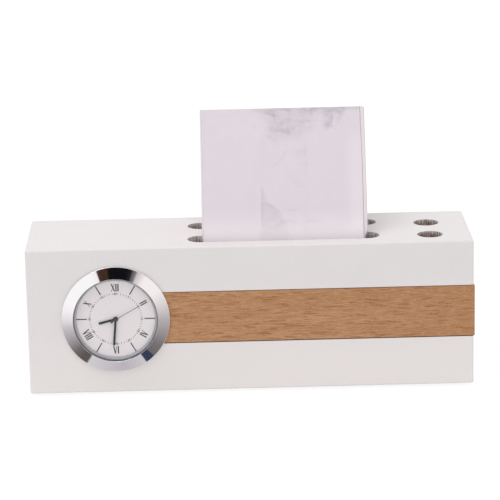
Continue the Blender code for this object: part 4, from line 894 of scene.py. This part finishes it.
def film_pattern(across, up, front):
    """The film's layers at each point, and how far its face stands out there."""
    # The bright creases are painted highlights: they clear the haze and the painted shade and make the film pale;
    # they also lift it a little.
    bright = ridges(across, up, BRIGHT_CREASES, BRIGHT_WIDTH)
    gentle = ridges(across, up, SOFT_CREASES, SOFT_WIDTH)
    seam = ridges(across, up, LAP_SEAMS, BRIGHT_WIDTH)
    speck = ridges(across, up, (SPECK,), BRIGHT_WIDTH)
    fold = patch(across, up, END_FOLD, 4.0)
    loose = patch(across, up, LOOSE_PATCH, 1.0) * (0.55 + 0.45 * soft(up - 20.0, 4.0))
    warm = patch(across, up, WARM_PATCH, 7.0)
    wrinkled = np.maximum(0.75 * patch(across, up, MIDDLE_WRINKLES, 7.0),
                          patch(across, up, RIGHT_WRINKLES, 3.0))
    top = soft(up - 74.6, 1.6) * soft(across + 12.0, 20.0)
    haze = front * (0.01 * fold + 0.028 * loose + 0.08 * wrinkled + 0.04 * gentle + 0.01 * seam
                    + 0.12 * speck + 0.04 * top) * (1.0 - bright)
    # Painted shade darkens the film where it is wrinkled, along the soft creases and at its top edge; the lap
    # seams and the speck are the film's own darker marks.
    shade = front * np.clip(0.9 * wrinkled + 0.72 * loose + 0.5 * seam + 0.6 * gentle + speck
                            + 0.8 * top - 1.2 * bright - 0.6 * warm, 0.0, 1.0)
    crumple = front * np.maximum(fold * soft(up - 62.0, 8.0), wrinkled)
    return (haze, shade, crumple, front * np.maximum(0.8 * warm, bright)), bright + 0.6 * gentle


print("the film's grid has cells of", FILM_CELL / MM, "mm")


# %% Put the film on
def film():
    """The film with its folds, creases and puffed sides."""
    wrap = add_piece("film", film_shape(), [film_finish()], "note_pad")
    points = np.empty(len(wrap.data.vertices) * 3)
    wrap.data.vertices.foreach_get("co", points)
    points = points.reshape(-1, 3)
    front = soft(FRONT_REACH - points[:, 1], FRONT_BLEND)
    layers, lift_out = film_pattern(points[:, 0] / MM, points[:, 2] / MM, front)
    for name, values in zip(FILM_LAYERS, layers):
        attribute = wrap.data.attributes.new(name, "FLOAT", "POINT")
        attribute.data.foreach_set("value", values.astype(np.float32))
    points[:, 1] -= front * lift_out * CREASE_HEIGHT
    rise = points[:, 2] - points[:, 1] * lean_sin / lean_cos
    for side, puffs in ((-1, LEFT_PUFF), (1, RIGHT_PUFF)):
        outside = np.clip((side * points[:, 0] - pad_width / 2 + PUFF_START) / PUFF_BLEND, 0.0, 1.0)
        points[:, 0] += side * outside * np.interp(rise, PUFF_PLACES, puffs)
    wrap.data.vertices.foreach_set("co", points.ravel())
    wrap.data.transform(PAD)
    wrap.data.update()
    return wrap


film()

# %% [markdown]
# ## The chrome bezel
# The bezel is turned and polished: a flat cone between a low rim and a lip round the lens. The camera sees
# it as bands of light and dark, because each part of the cone mirrors another part of the studio, where
# glowing cards paint these reflections. Its profile is spun, and its edges get a small rounding that
# catches a line of light, as polished metal does.

# %% Bezel
TURNING_STEPS = 256
CONE_TILT = math.radians(20.7)
EDGE = 0.10 * MM
LIP_EDGE = 0.04 * MM
TURNING_PITCH = 0.3 * MM
CONE_WIDTH, SKIRT_WIDTH = 5.4 * MM, 1.3 * MM
RIM_HEIGHT = 0.9 * MM
FLANGE_ROOM = 0.3 * MM


def radius_of(node):
    """Half the width of a round piece."""
    low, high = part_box(node)
    return (high.x - low.x) / 2


def turned_shape(profile, steps, closed=True):
    """A turned form: a profile of (radius, height) points, spun round the Z axis."""
    shape = bmesh.new()
    points = [shape.verts.new((radius, 0.0, height)) for radius, height in profile]
    pairs = list(zip(points, points[1:]))
    if closed:
        pairs.append((points[-1], points[0]))
    edges = [shape.edges.new(pair) for pair in pairs]
    bmesh.ops.spin(shape, geom=points + edges, cent=(0.0, 0.0, 0.0), axis=(0.0, 0.0, 1.0),
                   angle=math.tau, steps=steps, use_merge=True)
    bmesh.ops.remove_doubles(shape, verts=shape.verts, dist=SEAM)
    return shape


print("bezel", round(2 * radius_of("bezel") / MM, 2), "mm wide")

# %% Chrome and the bezel's section
def distance(where):
    """How far a place is from its centre."""
    return where.network.add("ShaderNodeVectorMath", {"operation": "LENGTH"}, {0: where}, "Value")


def chrome_finish():
    """Polished chrome over fine turning marks."""
    finish = Finish("chrome", 0.05, 1.0)
    radius = distance(place(finish, centre=clock_centre))
    mark = finish.add("ShaderNodeTexNoise", {"noise_dimensions": "1D"},
                      {"W": radius, "Scale": 1 / TURNING_PITCH, "Detail": 2.0})
    finish.set("Base Color", ramp(mark, (0.3, (0.915, 0.915, 0.925)), (0.7, (0.955, 0.955, 0.96))))
    finish.set("Roughness", 0.04 + mark * 0.03)
    return finish


def chrome_bezel():
    """The bezel's section, spun and rounded."""
    back, front = heights("bezel")
    radius = radius_of("bezel")
    lip, skirt, rim = radius - CONE_WIDTH, radius - SKIRT_WIDTH, back + RIM_HEIGHT
    flange = heights("case_shell")[1] + FLANGE_ROOM
    profile = ((lip + LIP_EDGE, front), (radius - EDGE, rim + EDGE), (radius, rim),
               (radius, back), (skirt, back), (skirt, flange), (lip, flange), (lip, front - LIP_EDGE))
    shape = turned_shape(profile, TURNING_STEPS)
    round_edges(shape, EDGE / 3, 2)
    return add_piece("chrome_bezel", shape, [chrome_finish()], "clock_insert", ["bezel"], CLOCK)


chrome_bezel()

# %% [markdown]
# What the cone mirrors is a painted reflection, built into the studio: a ring of glowing cards round the
# camera, which light nothing and of which only mirror rays see anything. Each angle round the bezel has its own
# direction of reflection, and
# the card for that angle stands in that direction: dark cards above the camera, a grey one at the right,
# a blue one low at the right. Between the stops the tone changes evenly.

# %% Cards that the chrome mirrors
CARD_DISTANCE = 0.8
CARD_SPREAD = math.radians(6.5)
CARD_RADIUS = 22.8 * MM
CARD_FLOOR = 2 * MM
CARD_STEP = 3
WHITE_CARD = (1.0, 0.985, 0.99)
WARM_WHITE_CARD = (0.96, 0.90, 0.89)
BROWN_CARD = (0.055, 0.026, 0.017)
BLACK_CARD = (0.006, 0.0055, 0.007)
BLUE_CARD = (0.042, 0.050, 0.088)
CARDS = ((-50, WHITE_CARD), (-30, WHITE_CARD), (-19.8, WARM_WHITE_CARD), (-19, (0.03, 0.02, 0.02)),
         (-17, BROWN_CARD), (-7.5, BROWN_CARD), (-6.5, BLACK_CARD), (14, BLACK_CARD),
         (19.5, (0.022, 0.018, 0.019)), (21, (0.14, 0.13, 0.145)), (24, (0.18, 0.165, 0.18)),
         (26, (0.62, 0.56, 0.55)), (36, WARM_WHITE_CARD), (54, WARM_WHITE_CARD), (62, (0.86, 0.82, 0.81)),
         (90, (0.48, 0.44, 0.44)), (105, (0.345, 0.315, 0.32)), (120, (0.20, 0.185, 0.185)),
         (134.5, (0.155, 0.14, 0.145)), (135.5, BLUE_CARD), (145, BLUE_CARD), (146.5, (0.63, 0.59, 0.625)),
         (172, (0.52, 0.485, 0.515)), (192, (0.59, 0.56, 0.585)), (213.5, (0.67, 0.63, 0.655)),
         (215.5, (0.115, 0.097, 0.092)), (223, (0.115, 0.097, 0.092)), (233, (0.18, 0.155, 0.155)),
         (252, (0.45, 0.415, 0.44)), (262, (0.59, 0.555, 0.58)), (271, (0.80, 0.76, 0.80)),
         (283, (0.96, 0.92, 0.95)), (292, WHITE_CARD), (310, WHITE_CARD))
print(len(CARDS), "tones round the bezel")


# %% Ring of cards
def card_point(angle, tilt):
    """Where the bezel's cone mirrors the camera to, at an angle clockwise from twelve."""
    out = Vector((math.sin(angle), 0.0, math.cos(angle)))
    point = clock_centre + out * CARD_RADIUS
    normal = out * math.sin(tilt) - Vector((0.0, math.cos(tilt), 0.0))
    ray = (point - eye).normalized()
    ray = ray - 2 * ray.dot(normal) * normal
    reach = CARD_DISTANCE
    if ray.z < 0.0:
        reach = min(reach, (point.z - CARD_FLOOR) / -ray.z)
    return point + ray * reach


def add_cards():
    """A ring of glowing cards that only mirror rays see: the painted reflection for the bezel."""
    shape = bmesh.new()
    layer = shape.loops.layers.float_color.new("tone")
    turns = CARDS + ((CARDS[0][0] + 360, CARDS[0][1]),)
    for (start, first), (end, second) in zip(turns, turns[1:]):
        steps = max(1, round((end - start) / CARD_STEP))
        for index in range(steps):
            corners, tones = [], []
            for share in (index / steps, (index + 1) / steps):
                angle = math.radians(start + (end - start) * share)
                tone = Vector(first).lerp(Vector(second), share)
                sides = (CONE_TILT - CARD_SPREAD, CONE_TILT + CARD_SPREAD)
                pair = [shape.verts.new(card_point(angle, tilt)) for tilt in sides]
                corners += pair if share == index / steps else pair[::-1]
                tones += [tone, tone]
            face = shape.faces.new(corners)
            for loop, tone in zip(face.loops, tones):
                loop[layer] = (*tone, 1.0)
    mesh = to_mesh("mirror_cards", shape)
    finish = Finish("card_glow", 1.0)
    tone = finish.add("ShaderNodeAttribute", {"attribute_name": "tone"}, {}, "Color")
    finish.show(finish.add("ShaderNodeEmission", {}, {"Color": tone}))
    mesh.materials.append(finish.material)
    cards = add_object("mirror_cards", mesh)
    cards.visible_camera = cards.visible_diffuse = cards.visible_shadow = False
    cards.visible_transmission = cards.visible_volume_scatter = False
    return cards


print(len(add_cards().data.polygons), "card faces")

# %% [markdown]
# ## Lens and ring
# A flat clear lens covers the dial. Real glass is a transparent surface with a weak mirror on it, and
# that is how it is built here: a Mix of Transparent and a mirror, more of it the flatter the view. A Fresnel
# node would turn the lens's back face into a full mirror for slanting light, and darken the dial.


# %% Lens
LENS_EDGE, LENS_GROWTH = 0.03 * MM, 0.19 * MM
MIRROR_MIN, MIRROR_GROWTH = 0.015, 0.3


def lens_finish():
    """Clear, with a weak mirror that grows at flat angles."""
    finish = Finish("lens_glass", 0.03)
    smear = noise(place(finish), 9 * MM, 3.0)
    slant = finish.add("ShaderNodeLayerWeight", {}, {"Blend": 0.5}, "Facing")
    squared = slant * slant
    mirror = MIRROR_MIN + squared * squared * MIRROR_GROWTH
    clear = finish.add("ShaderNodeBsdfTransparent", {}, {"Color": (1.0, 1.0, 1.0)})
    finish.set("Base Color", (0.9, 0.92, 0.93))
    finish.set("Metallic", 1.0)
    finish.set("Roughness", 0.02 + smear * 0.03)
    finish.show_mix(mirror, clear, None)
    return finish


def clear_lens():
    """The lens with a small polished edge."""
    back, front = heights("lens")
    radius = radius_of("lens") + LENS_GROWTH
    shape = turned_shape(((0.0, front), (radius - LENS_EDGE, front), (radius, front - LENS_EDGE),
                          (radius, back), (0.0, back)), TURNING_STEPS, closed=False)
    return add_piece("clear_lens", shape, [lens_finish()], "clock_insert", ["lens"], CLOCK)


clear_lens()

# %% [markdown]
# Between lens and dial stands a sloped grey ring. It is satin plastic, and its upper edge has a thin
# bright line where the light falls on the corner.


# %% Sloped ring
RING_FOOT, RING_TOP = 1.1 * MM, 0.2 * MM
RING_GROWTH = 0.35 * MM
RING_STEP, RING_EDGE = 0.45 * MM, 0.05 * MM
RING_SHADE_START, RING_SHADE_END = 18.8 * MM, 19.9 * MM


def ring_finish():
    """Satin grey plastic, darker out where it meets the bezel: painted shadow of the bezel's lip."""
    finish = Finish("grey_plastic", 0.35)
    grain = noise(place(finish), 0.6 * MM, 2.0)
    radius = distance(place(finish, centre=clock_centre, stretch=(1.0, 1000.0, 1.0)))
    tone = ramp(grain, (0.3, (0.40, 0.405, 0.44)), (0.7, (0.45, 0.455, 0.49)))
    # Painted shadow: the ring darkens outwards, where the bezel's lip shades it.
    painted_lip_shadow = step(radius, RING_SHADE_START, RING_SHADE_END)
    finish.set("Base Color", mix(painted_lip_shadow, tone, (0.14, 0.14, 0.155)))
    return finish


def sloped_ring():
    """The ring's section, with a brim that closes the gap under the bezel's lip, spun and rounded."""
    foot, top = heights("dial_ring")
    radius = radius_of("dial_ring")
    brim = radius + RING_GROWTH
    shape = turned_shape(((brim, top), (brim, top - RING_STEP), (radius, top - RING_STEP), (radius, foot),
                          (radius - RING_FOOT, foot), (radius - RING_TOP, top)), TURNING_STEPS)
    round_edges(shape, RING_EDGE, 2)
    return add_piece("sloped_ring", shape, [ring_finish()], "clock_insert", ["dial_ring"],
                     CLOCK)


sloped_ring()

# %% [markdown]
# ## The dial
# The dial is a white disc with black print. Print is ink that stands a hundredth of a millimetre above
# the paint, so it is made of thin slabs and not drawn in a material: the shapes stay sharp at any
# distance.

# %% Dial sizes
PRINT_HEIGHT = 0.02 * MM
DIAL_TURN = math.radians(0.5)
DIAL_HOLE = 1.0 * MM
DIAL_STEPS = 128
NUMERAL_RADIUS = 15.2 * MM
NUMERAL_HEIGHT = 3.6 * MM
THICK, THIN, SERIF, SERIF_REACH = 0.58 * MM, 0.27 * MM, 0.08 * MM, 0.06 * MM
LETTER_GAP = 0.38 * MM
LETTER_WIDTHS = {"I": THICK, "V": 1.45 * MM, "X": 1.50 * MM}
LETTER_STROKES = {"I": ((0.0, 0.0, THICK),),
                  "V": ((-0.5, 0.0, THICK), (0.5, 0.0, THIN)),
                  "X": ((-0.5, 0.5, THICK), (0.5, -0.5, THIN))}
NUMERALS = {12: "XII", 2: "II", 4: "IV", 6: "VI", 8: "VIII", 10: "X"}
BAR_RADIUS, BAR_LENGTH, BAR_WIDTH = 16.3 * MM, 5.6 * MM, 0.52 * MM
TRACK_RADIUS = 12.2 * MM
TICK_LENGTH, TICK_WIDTH = 0.80 * MM, 0.19 * MM
MINUTE_NUMBER_SIZE, MINUTE_NUMBER_BOLD = 1.45 * MM, 0.03 * MM
dial_top = heights("dial")[1]
print("print from", dial_top - PRINT_HEIGHT / 2, "to", dial_top + PRINT_HEIGHT / 2)


# %% Strokes and where they go
def add_slab(shape, corners, turn, foot=dial_top - PRINT_HEIGHT / 2, height=PRINT_HEIGHT):
    """A slab over a flat outline, turned into its place. It is ink unless a foot and a height are given."""
    points = [turn @ Vector((x, y, foot)) for x, y in corners]
    face = shape.faces.new([shape.verts.new(point) for point in points])
    grown = bmesh.ops.extrude_face_region(shape, geom=[face])["geom"]
    moved = [item for item in grown if isinstance(item, bmesh.types.BMVert)]
    bmesh.ops.translate(shape, verts=moved, vec=(0.0, 0.0, height))


def add_bar(shape, x, low, high, width, turn):
    """An upright slab round a line."""
    half = width / 2
    add_slab(shape, ((x - half, low), (x + half, low), (x + half, high), (x - half, high)), turn)


def dial_turn(minute, radius):
    """The turn to a minute's place. What stands on the lower half is turned to be read upright."""
    angle = -math.tau * minute / 60
    flip = math.pi if 15 < minute < 45 else 0.0
    turn = Matrix.Rotation(angle - DIAL_TURN, 4, "Z") @ Matrix.Translation((0.0, radius, 0.0))
    return turn @ Matrix.Rotation(flip, 4, "Z")


def add_numeral(shape, letters, turn):
    """A Roman numeral from thick and thin strokes with serifs."""
    widths = [LETTER_WIDTHS[letter] for letter in letters]
    x = -(sum(widths) + LETTER_GAP * (len(letters) - 1)) / 2
    top, bottom = NUMERAL_HEIGHT / 2, -NUMERAL_HEIGHT / 2
    for letter, width in zip(letters, widths):
        middle = x + width / 2
        for upper, lower, weight in LETTER_STROKES[letter]:
            upper_x, lower_x = middle + upper * width, middle + lower * width
            half = weight / 2
            add_slab(shape, ((lower_x - half, bottom), (lower_x + half, bottom),
                             (upper_x + half, top), (upper_x - half, top)), turn)
            for end_x, low in ((upper_x, top - SERIF), (lower_x, bottom)):
                add_bar(shape, end_x, low, low + SERIF, weight + 2 * SERIF_REACH, turn)
        x += width + LETTER_GAP


print("numerals", ", ".join(NUMERALS.values()))


# %% Print the dial
def add_text(shape, text, size, turn):
    """A small printed number, from a text curve made into a mesh."""
    curve = bpy.data.curves.new("number", "FONT")
    curve.body = text
    curve.size = size
    curve.align_x, curve.align_y = "CENTER", "CENTER"
    curve.offset = MINUTE_NUMBER_BOLD
    curve.extrude = PRINT_HEIGHT / 2
    curve.resolution_u = 3
    thing = add_object("number", curve)
    mesh = evaluated_mesh(thing)
    mesh.transform(turn @ Matrix.Translation((0.0, 0.0, dial_top)))
    shape.from_mesh(mesh)
    bpy.data.objects.remove(thing)


def dial_print():
    """Numerals, hour bars, the minute track and its numbers as one print."""
    shape = bmesh.new()
    for hour, letters in NUMERALS.items():
        add_numeral(shape, letters, dial_turn(hour * 5 % 60, NUMERAL_RADIUS))
    for hour in range(1, 12, 2):
        add_bar(shape, 0.0, -BAR_LENGTH / 2, BAR_LENGTH / 2, BAR_WIDTH, dial_turn(hour * 5, BAR_RADIUS))
    for minute in range(60):
        turn = dial_turn(minute, TRACK_RADIUS)
        if minute % 5:
            add_bar(shape, 0.0, -TICK_LENGTH / 2, TICK_LENGTH / 2, TICK_WIDTH, turn)
        else:
            add_text(shape, str(minute or 60), MINUTE_NUMBER_SIZE, turn)
    return shape


def dial_finish():
    """Matt white print ground with a fine tooth."""
    finish = Finish("dial_white", 0.55)
    tooth = noise(place(finish), 0.25 * MM, 3.0)
    cloud = noise(place(finish), 7 * MM, 2.0)
    finish.set("Base Color", mix(cloud, (0.855, 0.801, 0.814), (0.880, 0.825, 0.839)))
    relief(tooth, 0.004 * MM)
    return finish


def dial_face():
    """The white disc with its hole."""
    back, front = heights("dial")
    radius = radius_of("dial")
    shape = turned_shape(((radius, front), (radius, back), (DIAL_HOLE, back), (DIAL_HOLE, front)),
                         DIAL_STEPS)
    return add_piece("dial_face", shape, [dial_finish()], "clock_insert", ["dial"], CLOCK)


dial_face()
INK = grained_finish("dial_ink", 0.6, (0.012, 0.012, 0.016), (0.028, 0.028, 0.034), 0.3 * MM, 2.0)
add_piece("dial_print", dial_print(), [INK], "clock_insert", where=CLOCK)

# %% [markdown]
# ## The hands
# The hands are punched from thin sheet and painted, black for hours and minutes, brown for seconds. Each
# is a slab with a round collar, slightly bevelled. Their lengths, heights and angles are those of the
# packed hands, which the new ones replace: a hand's angle is the direction of its farthest point.


# %% Hands
HAND_THICKNESS = 0.2 * MM
HAND_EDGE = 0.04 * MM
COLLAR_EDGE, COLLAR_STEPS = 0.03 * MM, 64
TIP_SHARE = 0.98


def hand_finish(name, dark, light):
    """Painted sheet metal, satin."""
    finish = grained_finish(name, 0.5, dark, light, 0.4 * MM, 2.0)
    finish.set("Specular IOR Level", 0.3)
    return finish


def hand_direction(node):
    """How long a hand is, and its angle clockwise from twelve, from its farthest point."""
    flat = [Vector((v.co.x - clock_centre.x, v.co.z - clock_centre.z)) for v in nodes[node].data.vertices]
    length = max(point.length for point in flat)
    tip = sum((point for point in flat if point.length > TIP_SHARE * length), Vector((0.0, 0.0)))
    return length, math.atan2(tip.x, tip.y)


def slab_with_collar(node, body, width, tail, tail_width, collar, finish):
    """A hand: a slab from its tail to its tip, and a turned collar."""
    front = heights(node)[1]
    foot = front - HAND_THICKNESS
    length, angle = hand_direction(node)
    shape = bmesh.new()
    corners = [(-width / 2, 0.0), (width / 2, 0.0), (width / 2, length), (-width / 2, length)]
    if tail:
        corners[:1] = [(-width / 2, 0.0), (-tail_width / 2, -tail), (tail_width / 2, -tail)]
    add_slab(shape, corners, Matrix.Rotation(-angle, 4, "Z"), foot, HAND_THICKNESS)
    bmesh.ops.recalc_face_normals(shape, faces=shape.faces)
    round_edges(shape, HAND_EDGE, 2)
    profile = ((0.0, front + COLLAR_EDGE), (collar - 2 * COLLAR_EDGE, front + COLLAR_EDGE),
               (collar, front - COLLAR_EDGE), (collar, foot), (0.0, foot))
    mesh = to_mesh("collar", turned_shape(profile, COLLAR_STEPS, closed=False))
    shape.from_mesh(mesh)
    bpy.data.meshes.remove(mesh)
    return add_piece("dressed_" + node, shape, [finish], body, [node], CLOCK)


print("hour hand", hand_direction("hour_hand"), "minute hand", hand_direction("minute_hand"))

# %% Put the hands on
BLACK_HAND = hand_finish("hand_black", (0.006, 0.006, 0.009), (0.014, 0.014, 0.018))
BROWN_HAND = hand_finish("hand_brown", (0.055, 0.045, 0.042), (0.08, 0.066, 0.06))
slab_with_collar("hour_hand", "hour", 1.05 * MM, 0.0, 0.0, 1.2 * MM, BLACK_HAND)
slab_with_collar("minute_hand", "minute", 1.0 * MM, 0.0, 0.0, 1.05 * MM, BLACK_HAND)
slab_with_collar("second_hand", "seconds", 0.24 * MM, 2.8 * MM, 1.3 * MM, 0.6 * MM, BROWN_HAND)

# %% [markdown]
# ## Behind the dial
# The rest of the clock sits in the block and shows only when it is pulled out, or not at all. Its packed
# shapes are right, so they keep them and get real finishes: moulded plastic with a fine grain, turned
# brass, punched and brushed steel, wound copper wire and the green lacquer of a circuit board.


# %% Finishes of the works
def winding_finish():
    """Enamelled copper wire, turn beside turn along the coil, with painted shade in the grooves between turns and
    painted light on their crests.
    """
    finish = Finish("copper_wire", 0.3, 0.9)
    across = along(place(finish, centre=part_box("coil_winding")[0]), "X")
    turn = finish.add("ShaderNodeMath", {"operation": "PINGPONG"}, {0: across, 1: 0.05 * MM})
    # Painted shade and light: dark copper in the grooves between turns and bright copper on their crests; the same
    # value gives the real relief.
    round_wire = step(turn, 0.0, 0.05 * MM)
    finish.set("Base Color", mix(round_wire, (0.30, 0.10, 0.035), (0.68, 0.30, 0.13)))
    relief(round_wire, 0.03 * MM)
    return finish


def board_finish():
    """Green lacquer over tracks."""
    finish = Finish("board_green", 0.35)
    where = place(finish, centre=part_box("circuit_board")[0])
    track = finish.add("ShaderNodeTexBrick", {"offset": 0.5},
                       {"Vector": where, "Color1": (1.0, 1.0, 1.0), "Color2": (1.0, 1.0, 1.0),
                        "Mortar": (0.0, 0.0, 0.0), "Scale": 1 / (2.4 * MM), "Mortar Size": 0.08}, "Fac")
    finish.set("Base Color", mix(track, (0.02, 0.13, 0.055), (0.05, 0.26, 0.11)))
    relief(track, 0.02 * MM)
    return finish


def rubber_finish():
    """Matt black rubber with a dusty bloom."""
    finish = grained_finish("black_rubber", 0.8, (0.022, 0.022, 0.023), (0.05, 0.05, 0.052), 2 * MM, 4.0)
    relief(noise(place(finish), 0.2 * MM, 2.0), 0.02 * MM)
    return finish


print("wire, board and rubber have finishes of their own")


# %% Dress the works
MOULDED = {"size": 0.25 * MM, "detail": 3.0, "swing": 0.12, "depth": 0.015 * MM}
WORKED = {"size": 0.12 * MM, "detail": 4.0, "swing": 0.12, "metallic": 1.0, "centre": clock_centre}
BLACK_PLASTIC = grained_finish("black_plastic", 0.42, (0.016, 0.016, 0.018), (0.030, 0.030, 0.033), **MOULDED)
WHITE_PLASTIC = grained_finish("white_plastic", 0.40, (0.70, 0.70, 0.67), (0.78, 0.78, 0.75), **MOULDED)
STEEL = grained_finish("steel", 0.29, (0.48, 0.48, 0.49), (0.62, 0.62, 0.63), stretch=(20.0, 1.0, 1.0),
                       **WORKED)
BRASS = grained_finish("brass", 0.26, (0.56, 0.40, 0.15), (0.70, 0.52, 0.22), **WORKED)
MAGNET = grained_finish("magnet", 0.45, (0.07, 0.07, 0.075), (0.15, 0.15, 0.155), 0.08 * MM, 3.0,
                        metallic=0.6)
WORKS = {
    BLACK_PLASTIC: ("case_shell", "battery_hatch", "set_knob", "main_plate", "clock_chip"),
    rubber_finish(): ("gasket",),
    WHITE_PLASTIC: ("coil_bobbin", "hour_wheel", "minute_wheel"),
    STEEL: ("train_bridge", "bridge_screw_1", "bridge_screw_2", "bridge_screw_3", "coil_core", "stator",
            "quartz_crystal", "battery", "rotor_pinion"),
    BRASS: ("contact_minus", "contact_plus", "centre_wheel", "seconds_wheel", "third_wheel",
            "intermediate_wheel"),
    winding_finish(): ("coil_winding",),
    board_finish(): ("circuit_board",),
    MAGNET: ("rotor_magnet",),
}
for finish, names in WORKS.items():
    for name in names:
        dress(name, finish)
print(sum(len(names) for names in WORKS.values()), "pieces of the works are dressed")
